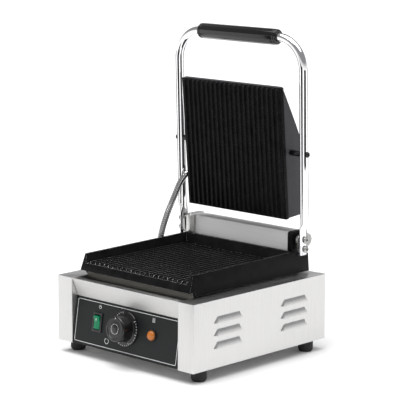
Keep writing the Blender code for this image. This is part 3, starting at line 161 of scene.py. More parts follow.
def dark_card(name, start, end):
    """A black card lying on the floor, seen only as a dark line in polished metal."""
    bpy.ops.mesh.primitive_plane_add(size=1)
    card = bpy.context.object
    card.name = name
    corners = ((CARD_NEAR, start), (CARD_NEAR, end), (CARD_FAR, start), (CARD_FAR, end))
    for vertex, (reach, turn) in zip(card.data.vertices, corners):
        angle = math.radians(turn)
        vertex.co = (reach * math.sin(angle), -reach * math.cos(angle), CARD_HEIGHT)
    card.data.materials.append(flat_paint(name, 0.01, 1.0, 0.0))
    card.visible_camera = False
    card.visible_diffuse = False
    card.visible_shadow = False


camera()
studio()


# ---------------------------------------------------------------- finishes
def finish_named(name, colour, roughness, metallic=0.0, **constants):
    """A new material with its shader's constants set, and the shader itself."""
    made = bpy.data.materials.new(name)
    made.use_nodes = True
    shader = made.node_tree.nodes["Principled BSDF"]
    shader.inputs["Base Color"].default_value = (*colour, 1)
    shader.inputs["Roughness"].default_value = roughness
    shader.inputs["Metallic"].default_value = metallic
    for socket, value in constants.items():
        shader.inputs[socket.replace("_", " ")].default_value = value
    return made, made.node_tree, shader


def grain(tree, stretch, scale, detail=3.0, rough=0.6):
    """Noise in the object's own coordinates, stretched along some axes."""
    place = tree.nodes.new("ShaderNodeTexCoord")
    mapping = tree.nodes.new("ShaderNodeMapping")
    mapping.inputs["Scale"].default_value = stretch
    noise = tree.nodes.new("ShaderNodeTexNoise")
    noise.inputs["Scale"].default_value = scale
    noise.inputs["Detail"].default_value = detail
    noise.inputs["Roughness"].default_value = rough
    tree.links.new(place.outputs["Object"], mapping.inputs["Vector"])
    tree.links.new(mapping.outputs["Vector"], noise.inputs["Vector"])
    return noise.outputs["Fac"]


def spread(tree, value, low, high):
    """Maps noise from its middle range to low..high."""
    remap = tree.nodes.new("ShaderNodeMapRange")
    remap.inputs["From Min"].default_value = 0.25
    remap.inputs["From Max"].default_value = 0.75
    remap.inputs["To Min"].default_value = low
    remap.inputs["To Max"].default_value = high
    tree.links.new(value, remap.inputs["Value"])
    return remap.outputs["Result"]


def tint(tree, value, dark, light):
    """Colour that runs from dark to light with a noise value."""
    ramp = tree.nodes.new("ShaderNodeValToRGB")
    ramp.color_ramp.elements[0].position = 0.3
    ramp.color_ramp.elements[0].color = (*dark, 1)
    ramp.color_ramp.elements[1].position = 0.7
    ramp.color_ramp.elements[1].color = (*light, 1)
    tree.links.new(value, ramp.inputs["Fac"])
    return ramp.outputs["Color"]


def relief(tree, shader, value, depth, strength=1.0):
    bump = tree.nodes.new("ShaderNodeBump")
    bump.inputs["Distance"].default_value = depth
    bump.inputs["Strength"].default_value = strength
    tree.links.new(value, bump.inputs["Height"])
    tree.links.new(bump.outputs["Normal"], shader.inputs["Normal"])


STEEL_COLOUR = (0.66, 0.655, 0.645)


def brushed_steel(name, stretch, colour=STEEL_COLOUR, shine=(0.24, 0.38), metallic=1.0):
    """Stainless sheet with fine lines; stretch is large across the lines and small along them."""
    made, tree, shader = finish_named(name, colour, 0.3, metallic)
    lines = grain(tree, stretch, 1.0, 4.0, 0.7)
    dark = tuple(c * 0.90 for c in colour)
    tree.links.new(tint(tree, lines, dark, colour), shader.inputs["Base Color"])
    tree.links.new(spread(tree, lines, *shine), shader.inputs["Roughness"])
    relief(tree, shader, lines, 0.00003, 0.5)
    return made


BRUSH_ALONG = 6
BRUSH_ACROSS = 1400
LINES_UP = (BRUSH_ACROSS, BRUSH_ACROSS, BRUSH_ALONG)
LINES_ACROSS = (BRUSH_ALONG, BRUSH_ACROSS, BRUSH_ACROSS)
LINES_DEEP = (BRUSH_ACROSS, BRUSH_ALONG, BRUSH_ACROSS)
SATIN = (0.50, 0.62)
STEEL_UP = brushed_steel("brushed_steel_upright", LINES_UP)
STEEL_ACROSS = brushed_steel("brushed_steel_crosswise", LINES_ACROSS)
STEEL_DEEP = brushed_steel("brushed_steel_lengthwise", LINES_DEEP)
SATIN_STEEL = brushed_steel("satin_steel", LINES_ACROSS, (0.68, 0.675, 0.665), SATIN)
# Painted light: a near-white, mostly diffuse copy of the stainless, so that the spring box cover looks evenly lit.
BRIGHTENED_STEEL = brushed_steel("painted_bright_steel", LINES_ACROSS, (0.97, 0.965, 0.955), SATIN, 0.15)
# Painted reflection: a dark steel for the trough wall, standing in for the dark casting that it reflects.
TROUGH_REFLECTION_STEEL = brushed_steel("painted_reflection_steel", LINES_ACROSS, (0.135, 0.132, 0.120), (0.48, 0.60))


def plated(name, colour, shine):
    """Bare or plated metal with faint clouds in its shine."""
    made, tree, shader = finish_named(name, colour, shine[0], 1.0)
    cloud = grain(tree, (1, 1, 1), 90, 3.0)
    dark = tuple(c * 0.94 for c in colour)
    tree.links.new(spread(tree, cloud, *shine), shader.inputs["Roughness"])
    tree.links.new(tint(tree, cloud, dark, colour), shader.inputs["Base Color"])
    return made


CHROME = plated("polished_chrome", (0.86, 0.86, 0.87), (0.035, 0.075))
ZINC = plated("zinc_plated_steel", (0.42, 0.42, 0.405), (0.22, 0.36))
BLACK_STEEL = plated("black_oxide_steel", (0.05, 0.05, 0.052), (0.25, 0.40))
COPPER = plated("copper_line", (0.80, 0.42, 0.28), (0.25, 0.4))
SHEATH = plated("heater_sheath", (0.22, 0.215, 0.20), (0.40, 0.55))
HOSE = plated("hose_steel", (0.50, 0.50, 0.50), (0.06, 0.12))


def casting_finish(name, dark, light, shine, depth):
    """Seasoned cast metal: fine sandy grain under a thin coat, with cloudy patches."""
    made, tree, shader = finish_named(name, dark, 0.5, 0.0, Specular_IOR_Level=0.08)
    sand = grain(tree, (1, 1, 1), 1500, 4.0, 0.7)
    cloud = grain(tree, (1, 1, 1), 55, 5.0, 0.65)
    tree.links.new(tint(tree, cloud, dark, light), shader.inputs["Base Color"])
    tree.links.new(spread(tree, cloud, *shine), shader.inputs["Roughness"])
    relief(tree, shader, sand, depth)
    return made


CAST_IRON = casting_finish(
    "seasoned_cast_iron", (0.0030, 0.0030, 0.0034), (0.010, 0.010, 0.011), (0.34, 0.55), 0.00012
)
# Painted highlight: a bright finish for the lower casting's bevel faces, standing in for light caught on its rib
# ends and rim.
LOWER_EDGE_HIGHLIGHT_IRON = plated("painted_highlight_lower_casting", (0.80, 0.80, 0.79), (0.28, 0.45))
# Painted highlight: a grey finish for the upper casting's bevel faces, standing in for light caught on its rib
# edges.
UPPER_EDGE_HIGHLIGHT_IRON = plated("painted_highlight_upper_casting", (0.22, 0.22, 0.22), (0.30, 0.45))
ENAMEL = casting_finish(
    "satin_grey_enamel", (0.060, 0.060, 0.065), (0.072, 0.072, 0.077), (0.42, 0.50), 0.00004
)


def moulded(name, colour, shine, depth=0.00002, **constants):
    made, tree, shader = finish_named(name, colour, shine[0], 0.0, **constants)
    fine = grain(tree, (1, 1, 1), 900, 3.0)
    dark = tuple(c * 0.88 for c in colour)
    tree.links.new(tint(tree, fine, dark, colour), shader.inputs["Base Color"])
    tree.links.new(spread(tree, fine, *shine), shader.inputs["Roughness"])
    relief(tree, shader, fine, depth)
    return made


OVERLAY = moulded("panel_film", (0.011, 0.0125, 0.013), (0.40, 0.48), Specular_IOR_Level=0.22)
PRINT = moulded("white_print", (0.88, 0.89, 0.89), (0.5, 0.6))
KNOB = moulded("knob_phenolic", (0.007, 0.007, 0.0075), (0.12, 0.18), 0.00001)
GRIP = moulded("grip_phenolic", (0.006, 0.006, 0.0065), (0.08, 0.14), 0.00001)
SWITCH = moulded("switch_nylon", (0.014, 0.014, 0.015), (0.40, 0.50))
RUBBER = moulded("foot_rubber", (0.012, 0.012, 0.012), (0.65, 0.80), 0.00006)
GREEN = moulded("rocker_green", (0.0, 0.20, 0.085), (0.25, 0.32), 0.00001, Specular_IOR_Level=0.25)
ORANGE = moulded("lens_orange", (0.50, 0.15, 0.02), (0.12, 0.2), 0.00001)
WOOL = moulded("mineral_wool", (0.70, 0.66, 0.55), (0.9, 1.0), 0.0005)
CERAMIC = moulded("ceramic_body", (0.80, 0.78, 0.72), (0.4, 0.55))

FINISH_OF_SLOT = {
    "stainless": STEEL_UP,
    "black_steel": BLACK_STEEL,
    "chrome": CHROME,
    "zinc_steel": ZINC,
    "black_cast_iron": CAST_IRON,
    "dark_grey_enamel": ENAMEL,
    "overlay_black": OVERLAY,
    "knob_black": KNOB,
    "grip_black": GRIP,
    "switch_black": SWITCH,
    "rocker_green": GREEN,
    "lens_orange": ORANGE,
    "foot_rubber": RUBBER,
    "element_sheath": SHEATH,
    "mineral_wool": WOOL,
    "ceramic": CERAMIC,
    "copper": COPPER,
}


def dress_kept_nodes():
    """Every CAD node gets the finish of its material slot."""
    for part in frame["record"]["subparts"]:
        mesh = NODES[part["node"]].data
        mesh.materials.clear()
        mesh.materials.append(FINISH_OF_SLOT[part["material_slot"]])


dress_kept_nodes()


# ---------------------------------------------------------------- making pieces
BODY_OF = {
    node: body
    for body, members in frame["record"]["behaviour"]["bodies"].items()
    for node in members
}
SLOT_OF = {part["node"]: part["material_slot"] for part in frame["record"]["subparts"]}
JOINTS = {joint["name"]: joint for joint in frame["joints"]}

SHEET = 0.001
GAP = 0.0003  # clearance between neighbouring pieces
MERGE = 0.00001  # points nearer than this are one point
ARM_LEAN = math.radians(1.95)
PLATE_LEAN = math.radians(3.05)
ARM_PLACE = Matrix.Translation(JOINTS["arm_hinge"]["pos_m"]) @ Matrix.Rotation(ARM_LEAN, 4, "X")
UPPER_PLACE = Matrix.Translation(JOINTS["upper_plate_tilt"]["pos_m"]) @ Matrix.Rotation(
    ARM_LEAN + PLATE_LEAN, 4, "X"
)
PANEL_LEAN = math.asin(-JOINTS["thermostat_turn"]["axis"][2])
KNOB_PLACE = Matrix.Translation(JOINTS["thermostat_turn"]["pos_m"]) @ Matrix.Rotation(
    math.pi / 2 - PANEL_LEAN, 4, "X"
)


def alone(obj):
    bpy.ops.object.select_all(action="DESELECT")
    obj.select_set(True)
    bpy.context.view_layer.objects.active = obj


def opened(obj, kind, chosen):
    """Opens a piece for editing with the chosen vertices, edges or faces selected."""
    alone(obj)
    bpy.ops.object.mode_set(mode="EDIT")
    bpy.ops.mesh.select_mode(type=kind)
    bpy.ops.mesh.select_all(action="DESELECT")
    bpy.ops.object.mode_set(mode="OBJECT")
    mesh = obj.data
    items = {"VERT": mesh.vertices, "EDGE": mesh.edges, "FACE": mesh.polygons}[kind]
    for item in items:
        item.select = bool(chosen(item))
    bpy.ops.object.mode_set(mode="EDIT")


def closed():
    bpy.ops.object.mode_set(mode="OBJECT")


def everything(_):
    return True


def tidy_normals(obj):
    opened(obj, "VERT", everything)
    bpy.ops.mesh.remove_doubles(threshold=MERGE)
    bpy.ops.mesh.normals_make_consistent(inside=False)
    closed()


def modify(obj, kind, **settings):
    """Adds one modifier and applies it."""
    alone(obj)
    made = obj.modifiers.new(kind.lower(), kind)
    for name, value in settings.items():
        setattr(made, name, value)
    bpy.ops.object.modifier_apply(modifier=made.name)
    return obj


def rounded(obj, width, segments=3, angle=30, paint=-1):
    return modify(
        obj,
        "BEVEL",
        width=width,
        segments=segments,
        limit_method="ANGLE",
        angle_limit=math.radians(angle),
        material=paint,
    )


def carve(obj, cutter):
    """Cuts one piece out of another and removes the cutter."""
    modify(obj, "BOOLEAN", operation="DIFFERENCE", solver="EXACT", object=cutter)
    bpy.data.objects.remove(cutter, do_unlink=True)
    return obj


def smooth(obj, angle=35):
    alone(obj)
    bpy.ops.object.shade_smooth_by_angle(angle=math.radians(angle))


def place_at(obj, matrix):
    """Moves a piece from its own axes to its place and leaves the object at the origin."""
    alone(obj)
    obj.matrix_world = matrix
    bpy.ops.object.transform_apply(location=True, rotation=True, scale=True)
    return obj


def settle(obj, name, finish, body, slot, *nodes, angle=35):
    """Names, paints and mounts a finished piece."""
    obj.name = name
    obj.data.name = name
    obj.data.materials.clear()
    obj.data.materials.append(finish)
    smooth(obj, angle)
    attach(obj, body)
    if nodes:
        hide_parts(*nodes)
    return obj


def stand_for(obj, node, finish=None, angle=35):
    """A finished piece that takes a CAD node's place and body, painted with the finish of the node's slot unless
    another is given.
    """
    slot = SLOT_OF[node]
    finish = finish or FINISH_OF_SLOT[slot]
    return settle(obj, "fine_" + node, finish, BODY_OF[node], slot, node, angle=angle)


def refined(node, width, finish=None, segments=3, angle=30, flat=1.0, edge_highlight=None):
    """A copy of a CAD node with its triangles joined and its edges broken, with its bevel faces given a second
    finish as a painted edge highlight when one is given.
    """
    obj = bpy.data.objects.new("fine_" + node, NODES[node].data.copy())
    bpy.context.scene.collection.objects.link(obj)
    opened(obj, "VERT", everything)
    bpy.ops.mesh.remove_doubles(threshold=MERGE)
    bpy.ops.mesh.dissolve_limited(angle_limit=math.radians(flat))
    closed()
    if not edge_highlight:
        rounded(obj, width, segments, angle)
        return stand_for(obj, node, finish)
    # The bevel faces take the second finish: a painted highlight along the edges.
    obj.data.materials.clear()
    obj.data.materials.append(finish)
    obj.data.materials.append(edge_highlight)
    rounded(obj, width, segments, angle, 1)
    highlighted_faces = [face.material_index for face in obj.data.polygons]
    stand_for(obj, node, finish)
    obj.data.materials.append(edge_highlight)
    for face, index in zip(obj.data.polygons, highlighted_faces):
        face.material_index = index
    return obj


def block(low, high):
    """A box between two corners, with its place in its mesh."""
    low, high = Vector(low), Vector(high)
    bpy.ops.mesh.primitive_cube_add(size=1)
    obj = bpy.context.object
    obj.scale = high - low
    obj.location = (low + high) / 2
    alone(obj)
    bpy.ops.object.transform_apply(location=True, rotation=True, scale=True)
    return obj


def lathe(rings, sides=48, cap_first=True, cap_last=True, closed_ring=False):
    """Rings of (radius, height), drawn out one after another from a first circle along +Z."""
    radius, height = rings[0]
    bpy.ops.mesh.primitive_circle_add(vertices=sides, radius=radius, location=(0, 0, height))
    obj = bpy.context.object
    bpy.ops.object.transform_apply(location=True, rotation=True, scale=True)
    opened(obj, "EDGE", everything)
    if cap_first:
        bpy.ops.mesh.edge_face_add()
    for (before, low), (after, high) in zip(rings, rings[1:]):
        bpy.ops.mesh.select_mode(type="EDGE")
        bpy.ops.mesh.extrude_edges_move(TRANSFORM_OT_translate={"value": (0, 0, high - low)})
        share = after / before
        bpy.ops.transform.resize(value=(share, share, 1), center_override=(0, 0, high))
    if cap_last:
        bpy.ops.mesh.edge_face_add()
    if closed_ring:
        bpy.ops.mesh.select_mode(type="EDGE")
        bpy.ops.mesh.select_all(action="DESELECT")
        bpy.ops.mesh.select_non_manifold()
        bpy.ops.mesh.bridge_edge_loops()
    closed()
    tidy_normals(obj)
    return obj


def joined(first, *others):
    bpy.ops.object.select_all(action="DESELECT")
    for obj in (first, *others):
        obj.select_set(True)
    bpy.context.view_layer.objects.active = first
    bpy.ops.object.join()
    return first


def flat_ring(inner, outer, low, high, sides):
    """A square-edged ring about +Z."""
    rings = [(inner, low), (outer, low), (outer, high), (inner, high)]
    return lathe(rings, sides, False, False, True)


def twin(obj):
    """A copy with its own mesh."""
    made = obj.copy()
    made.data = obj.data.copy()
    bpy.context.scene.collection.objects.link(made)
    return made


def turned_over(obj):
    """A piece mirrored left to right about the middle."""
    place_at(obj, Matrix.Scale(-1, 4, (1, 0, 0)))
    tidy_normals(obj)
    return obj


# ---------------------------------------------------------------- housing
DECK_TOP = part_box("left_side_panel")[1].z
HOUSING_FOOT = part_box("left_side_panel")[0].z
FRONT_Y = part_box("left_side_panel")[0].y
REAR_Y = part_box("left_side_panel")[1].y
SIDE_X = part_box("rear_panel")[1].x + SHEET + GAP
TROUGH_BACK = FRONT_Y + 0.0333
PILLAR = 0.033
FOLD = 0.0014
LOUVRE_LENGTH = 0.063
LOUVRE_HEIGHT = 0.0098
LOUVRE_PROUD = 0.0033
LOUVRE_ROWS = [HOUSING_FOOT + 0.0557 + row * 0.0198 for row in (-1, 0, 1)]
LOUVRE_GROUPS = (-0.077, 0.077)
SLIT_HALF = LOUVRE_LENGTH / 2 - 0.0045
REAR_RETURN = 0.015
REAR_SCREW_X = 0.125


def folded_sheet(path):
    """Sheet that follows a path seen from above, its outer face on the path."""
    low, high = HOUSING_FOOT, DECK_TOP
    bpy.ops.mesh.primitive_plane_add(size=1)
    obj = bpy.context.object
    (x, y), (next_x, next_y) = path[:2]
    corners = ((x, y, low), (next_x, next_y, low), (x, y, high), (next_x, next_y, high))
    for vertex, corner in zip(obj.data.vertices, corners):
        vertex.co = corner

    def places(edge):
        ends = [obj.data.vertices[i].co for i in edge.vertices]
        return {tuple(round(c, 5) for c in end[:2]) for end in ends}

    leading = {(round(next_x, 5), round(next_y, 5))}
    opened(obj, "EDGE", lambda e: places(e) == leading)
    for (x, y), (next_x, next_y) in zip(path[1:], path[2:]):
        bpy.ops.mesh.extrude_edges_move(
            TRANSFORM_OT_translate={"value": (next_x - x, next_y - y, 0)}
        )
    closed()
    folds = [{tuple(round(c, 5) for c in point)} for point in path[1:-1]]
    opened(obj, "EDGE", lambda e: places(e) in folds)
    bpy.ops.mesh.bevel(offset=FOLD, segments=5, affect="EDGES")
    closed()
    return obj


def louvre():
    """One pressed flap on the right side, rising from its top edge to an open lower lip."""
    bpy.ops.mesh.primitive_cone_add(
        vertices=40,
        radius1=LOUVRE_HEIGHT,
        radius2=0.0006,
        depth=LOUVRE_HEIGHT,
        rotation=(0, 0, math.pi / 40),
    )
    flap = bpy.context.object
    bpy.ops.object.transform_apply(location=False, rotation=True, scale=False)
    opened(flap, "FACE", lambda f: abs(f.normal.z) > 0.9)
    bpy.ops.mesh.delete(type="FACE")
    closed()
    opened(flap, "VERT", everything)
    bpy.ops.transform.resize(value=(LOUVRE_PROUD / LOUVRE_HEIGHT, 0.75, 1))
    closed()
    reach = LOUVRE_LENGTH / 2 - 0.75 * LOUVRE_HEIGHT
    for side in (-1, 1):
        opened(flap, "VERT", lambda v: v.co.y * side > 0)
        bpy.ops.transform.translate(value=(0, side * reach, 0))
        closed()
    opened(flap, "VERT", everything)
    bpy.ops.mesh.bisect(
        plane_co=(-0.0004, 0, 0), plane_no=(1, 0, 0), clear_inner=True, use_fill=False
    )
    closed()

    def lower_lip(edge):
        return all(flap.data.vertices[i].co.z < -0.4 * LOUVRE_HEIGHT for i in edge.vertices)

    opened(flap, "EDGE", lower_lip)
    bpy.ops.mesh.extrude_edges_move(TRANSFORM_OT_translate={"value": (0, 0, -0.0006)})
    bpy.ops.transform.resize(value=(0.80, 0.995, 1), center_override=(0, 0, 0))
    closed()
    modify(flap, "SOLIDIFY", thickness=0.0007, offset=-1)
    rounded(flap, 0.0002, 2, 40)
    return flap


def side_panels():
    path = [
        (SIDE_X - PILLAR, TROUGH_BACK - SHEET),
        (SIDE_X - PILLAR, FRONT_Y),
        (SIDE_X, FRONT_Y),
        (SIDE_X, REAR_Y),
        (SIDE_X - REAR_RETURN, REAR_Y),
    ]
    panel = folded_sheet(path)
    modify(panel, "SOLIDIFY", thickness=SHEET, offset=-1)
    flaps = []
    master = louvre()
    for y in LOUVRE_GROUPS:
        for z in LOUVRE_ROWS:
            low = z - LOUVRE_HEIGHT / 2
            slit_low = (SIDE_X - 0.004, y - SLIT_HALF, low + 0.0008)
            slit_high = (SIDE_X + 0.002, y + SLIT_HALF, low + 0.0050)
            carve(panel, block(slit_low, slit_high))
            flap = twin(master)
            place_at(flap, Matrix.Translation((SIDE_X, y, z)))
            flaps.append(flap)
    bpy.data.objects.remove(master, do_unlink=True)
    joined(panel, *flaps)
    other = turned_over(twin(panel))
    stand_for(panel, "right_side_panel", STEEL_UP)
    stand_for(other, "left_side_panel", STEEL_UP)


def housing():
    side_panels()
    sheet = refined("deck", 0.0004, STEEL_DEEP)
    # The forward-facing trough wall gets the dark steel, a painted reflection of the dark casting.
    sheet.data.materials.append(TROUGH_REFLECTION_STEEL)
    for face in sheet.data.polygons:
        if face.normal.y < -0.5:
            face.material_index = 1
    refined("grease_tray", 0.0005, SATIN_STEEL)
    refined("rear_panel", 0.0002, STEEL_ACROSS)
    refined("bottom_plate", 0.0004, STEEL_ACROSS)
    refined("front_panel", 0.0002, STEEL_ACROSS)
    for x in (-REAR_SCREW_X, REAR_SCREW_X):
        for z in (HOUSING_FOOT + 0.018, DECK_TOP - 0.012):
            screw = pan_head(0.0034, 0.0022)
            turn = Matrix.Rotation(-math.pi / 2, 4, "X")
            place_at(screw, Matrix.Translation((x, REAR_Y - SHEET - GAP, z)) @ turn)
            label = f"rear_screw_{'left' if x < 0 else 'right'}_{'low' if z < 0.06 else 'high'}"
            settle(screw, label, ZINC, "base", "zinc_steel")


def pan_head(radius, height):
    """Domed screw head with a cross recess, rising along +Z from its seat."""
    head = lathe(
        [
            (radius * 0.8, -0.0004),
            (radius, 0.0),
            (radius, height * 0.25),
            (radius * 0.92, height * 0.6),
            (radius * 0.70, height * 0.88),
            (radius * 0.35, height),
        ],
        32,
    )
    for turn in (0, math.pi / 2):
        reach, half = radius * 0.55, radius * 0.12
        slot = block((-reach, -half, height * 0.45), (reach, half, height * 2))
        place_at(slot, Matrix.Rotation(turn, 4, "Z"))
        carve(head, slot)
    return head


def feet():
    """Rubber feet with a chamfered tread and a grip ring."""
    low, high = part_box("foot_front_right")
    radius = (high.x - low.x) / 2
    tall = high.z
    for end in ("front", "rear"):
        for side in ("left", "right"):
            node = f"foot_{end}_{side}"
            low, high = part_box(node)
            foot = lathe(
                [
                    (0.0067, 0.008),
                    (0.0065, 0.0004),
                    (0.0070, 0.0),
                    (radius - 0.0027, 0.0),
                    (radius - 0.0020, 0.0004),
                    (radius - 0.0002, 0.0036),
                    (radius, 0.0044),
                    (radius, tall - 0.0012),
                    (radius - 0.0010, tall),
                    (0.0030, tall),
                ],
                48,
            )
            middle = (low + high) / 2
            place_at(foot, Matrix.Translation((middle.x, middle.y, 0)))
            stand_for(foot, node, RUBBER)


# ---------------------------------------------------------------- control panel
def on_panel(x, up, out=0.0):
    """A place on the overlay's face: height runs outward, across and up follow the panel."""
    turn = Matrix.Rotation(math.pi / 2 - PANEL_LEAN, 4, "X")
    foot = Vector((0, FRONT_Y, HOUSING_FOOT + 0.0013))
    slope = Vector((0, math.sin(PANEL_LEAN), math.cos(PANEL_LEAN)))
    outward = Vector((0, -math.cos(PANEL_LEAN), math.sin(PANEL_LEAN)))
    return Matrix.Translation(foot + Vector((x, 0, 0)) + slope * up + outward * out) @ turn


PANEL_UP = 0.0759
SWITCH_PLACE = (-0.064, 0.0410)
LAMP_PLACE = (0.057, 0.0410)
ROCKER_TIP = math.radians(8)
INK = 0.00012
INK_LIFT = 0.00002  # under the ink, so that it doesn't touch the overlay


def printed(outline_pieces, name):
    """Thin ink on the overlay, joined into one piece."""
    ink = joined(*outline_pieces)
    settle(ink, name, PRINT, "base", "overlay_black")


def stripe(low, high):
    return place_at(block((*low, 0.0), (*high, INK)), on_panel(0, 0, INK_LIFT))


def ink_ring(x, up, radius, width):
    """A flat ring with a gap at its top, taken out by a block."""
    ring = flat_ring(radius - width / 2, radius + width / 2, 0, INK, 48)
    carve(ring, block((-radius * 0.45, radius * 0.2, -0.01), (radius * 0.45, radius * 2, 0.01)))
    return place_at(ring, on_panel(x, up, INK_LIFT))


def panel_print():
    """White border, and plain signs for power, turning and heat."""
    left, right, low, high, width = -0.1125, 0.1125, 0.0042, PANEL_UP - 0.0036, 0.0007
    frame_ink = [
        stripe((left + 0.003, low), (right - 0.003, low + width)),
        stripe((left + 0.003, high - width), (right - 0.003, high)),
        stripe((left, low + 0.003), (left + width, high - 0.003)),
        stripe((right - width, low + 0.003), (right, high - 0.003)),
    ]
    reach = 0.003
    for x, up, start in (
        (left + reach, low + reach, 180),
        (right - reach, low + reach, 270),
        (right - reach, high - reach, 0),
        (left + reach, high - reach, 90),
    ):
        corner = flat_ring(reach - width, reach, 0, INK, 48)
        for away in (90, 180, 270):
            turn = math.radians(start + away)
            lump = block((0, 0, -0.01), (0.02, 0.02, 0.01))
            place_at(lump, Matrix.Rotation(turn, 4, "Z"))
            carve(corner, lump)
        place_at(corner, on_panel(x, up, INK_LIFT))
        frame_ink.append(corner)
    printed(frame_ink, "panel_border")
    power = ink_ring(-0.0615, 0.0655, 0.0026, 0.0006)
    printed([power, stripe((-0.0618, 0.0655), (-0.0612, 0.0690))], "power_sign")
    heat = [stripe((x - 0.0003, 0.0632), (x + 0.0003, 0.0682)) for x in (0.0552, 0.0572, 0.0592)]
    heat.append(stripe((0.0540, 0.0618), (0.0604, 0.0623)))
    printed(heat, "heat_sign")
    turning = ink_ring(-0.0400, 0.0150, 0.0042, 0.0006)
    printed([turning, stripe((-0.0440, 0.0178), (-0.0412, 0.0184))], "turn_sign")


SKIRT = 0.0275
CAP = 0.0205
KNOB_TALL = 0.025
DIAL_START = 35  # degrees from the dial's own +X, and the scale runs clockwise
DIAL_SWEEP = 290
DIAL_STEPS = 30
INK_LOW = 0.0029
INK_HIGH = 0.0032


def dial_ticks():
    """Short ticks round the skirt, with a longer one at each number."""
    marks = []
    for step in range(DIAL_STEPS + 1):
        turn = math.radians(DIAL_START) - math.radians(DIAL_SWEEP) * step / DIAL_STEPS
        inner = SKIRT - (0.0034 if step % 5 == 0 else 0.0020)
        tick = block((inner, -0.00036, INK_LOW), (SKIRT - 0.0006, 0.00036, INK_HIGH))
        place_at(tick, Matrix.Rotation(turn, 4, "Z"))
        marks.append(tick)
    return marks


def dial_numbers():
    marks = []
    for index, label in enumerate(("0", "1", "2", "3", "4", "5", "6")):
        angle = DIAL_START - DIAL_SWEEP * index / 6
        bpy.ops.object.text_add()
        text = bpy.context.object
        text.data.body = label
        text.data.size = 0.0040
        text.data.extrude = 0.0001
        text.data.align_x = "CENTER"
        text.data.align_y = "CENTER"
        bpy.ops.object.convert(target="MESH")
        turn = Matrix.Rotation(math.radians(angle), 4, "Z")
        lifted = turn @ Matrix.Translation((SKIRT - 0.0048, 0, INK_HIGH))
        place_at(text, lifted @ Matrix.Rotation(-math.pi / 2, 4, "Z"))
        marks.append(text)
    return marks


def knob():
    """Dark dial: a flat skirt with ticks and numbers, and a cap with a shallow ring."""
    skirt, cap, tall = SKIRT, CAP, KNOB_TALL
    body = lathe(
        [
            (0.0033, 0.0008),
            (skirt - 0.0006, 0.0008),
            (skirt, 0.0013),
            (skirt, 0.0023),
            (skirt - 0.0006, 0.0029),
            (cap + 0.0022, 0.0034),
            (cap + 0.0008, 0.0040),
            (cap + 0.0002, 0.0052),
            (cap - 0.0005, tall - 0.0030),
            (cap - 0.0010, tall - 0.0012),
            (cap - 0.0022, tall - 0.0002),
            (cap - 0.0034, tall),
            (cap - 0.0050, tall - 0.0002),
            (cap - 0.0056, tall - 0.0009),
            (0.0060, tall - 0.0009),
            (0.0054, tall - 0.0006),
            (0.0010, tall - 0.0006),
        ],
        96,
    )
    notch = block((-0.0009, skirt - 0.0035, 0.0), (0.0009, skirt + 0.002, 0.006))
    carve(body, notch)
    place_at(body, KNOB_PLACE)
    stand_for(body, "thermostat_knob", KNOB)
    ink = joined(*dial_ticks(), *dial_numbers())
    place_at(ink, KNOB_PLACE)
    settle(ink, "dial_marks", PRINT, "knob", "knob_black")
    pointer_low = (-0.0005, cap - 0.0046, tall - 0.0002)
    pointer = block(pointer_low, (0.0005, cap - 0.0026, tall + 0.0001))
    ring = joined(pointer, flat_ring(0.0076, 0.0079, tall - 0.0010, tall - 0.0007, 64))
    place_at(ring, KNOB_PLACE)
    settle(ring, "knob_pointer", PRINT, "knob", "knob_black")


def lamp():
    """Domed lens in a black bezel."""
    place = on_panel(*LAMP_PLACE)
    lens = lathe(
        [
            (0.0050, -0.006),
            (0.0050, 0.0012),
            (0.0074, 0.0016),
            (0.0076, 0.0022),
            (0.0073, 0.0036),
            (0.0064, 0.0050),
            (0.0048, 0.0061),
            (0.0028, 0.0068),
            (0.0004, 0.0070),
        ],
        48,
    )
    place_at(lens, place)
    stand_for(lens, "indicator_lens", ORANGE)
    body = lathe(
        [
            (0.0053, -0.018),
            (0.0065, -0.018),
            (0.0065, 0.0003),
            (0.0088, 0.0003),
            (0.0090, 0.0008),
            (0.0088, 0.0018),
            (0.0083, 0.0021),
            (0.0078, 0.0019),
            (0.0077, 0.0009),
            (0.0053, 0.0008),
        ],
        48,
        False,
        False,
        True,
    )
    place_at(body, place)
    stand_for(body, "indicator_lamp_body", SWITCH)


def rocker():
    refined("rocker_switch_housing", 0.0005, SWITCH)
    refined("rocker_button", 0.0006, GREEN)
    place = on_panel(*SWITCH_PLACE)
    tip = Matrix.Rotation(ROCKER_TIP, 4, "X")
    bar = block((-0.0004, 0.0032, 0.0031), (0.0004, 0.0066, 0.0039))
    place_at(bar, place @ tip)
    settle(bar, "rocker_on_mark", PRINT, "rocker", "rocker_green")


# ---------------------------------------------------------------- castings
def castings():
    # The bevel faces of both castings take a bright second finish, a painted highlight along their edges.
    refined("lower_grill_plate", 0.0007, CAST_IRON, 2, 28, 0.5, LOWER_EDGE_HIGHLIGHT_IRON)
    refined("upper_grill_plate", 0.0005, CAST_IRON, 2, 28, 0.5, UPPER_EDGE_HIGHLIGHT_IRON)


COVER_FRONT = -0.0112
COVER_DEPTH = 0.0265
COVER_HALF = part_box("upper_cover")[1].x
COVER_REACH = 0.1065
COVER_KNEE = (0.0175, 0.0445)  # where the long chamfer changes its slope


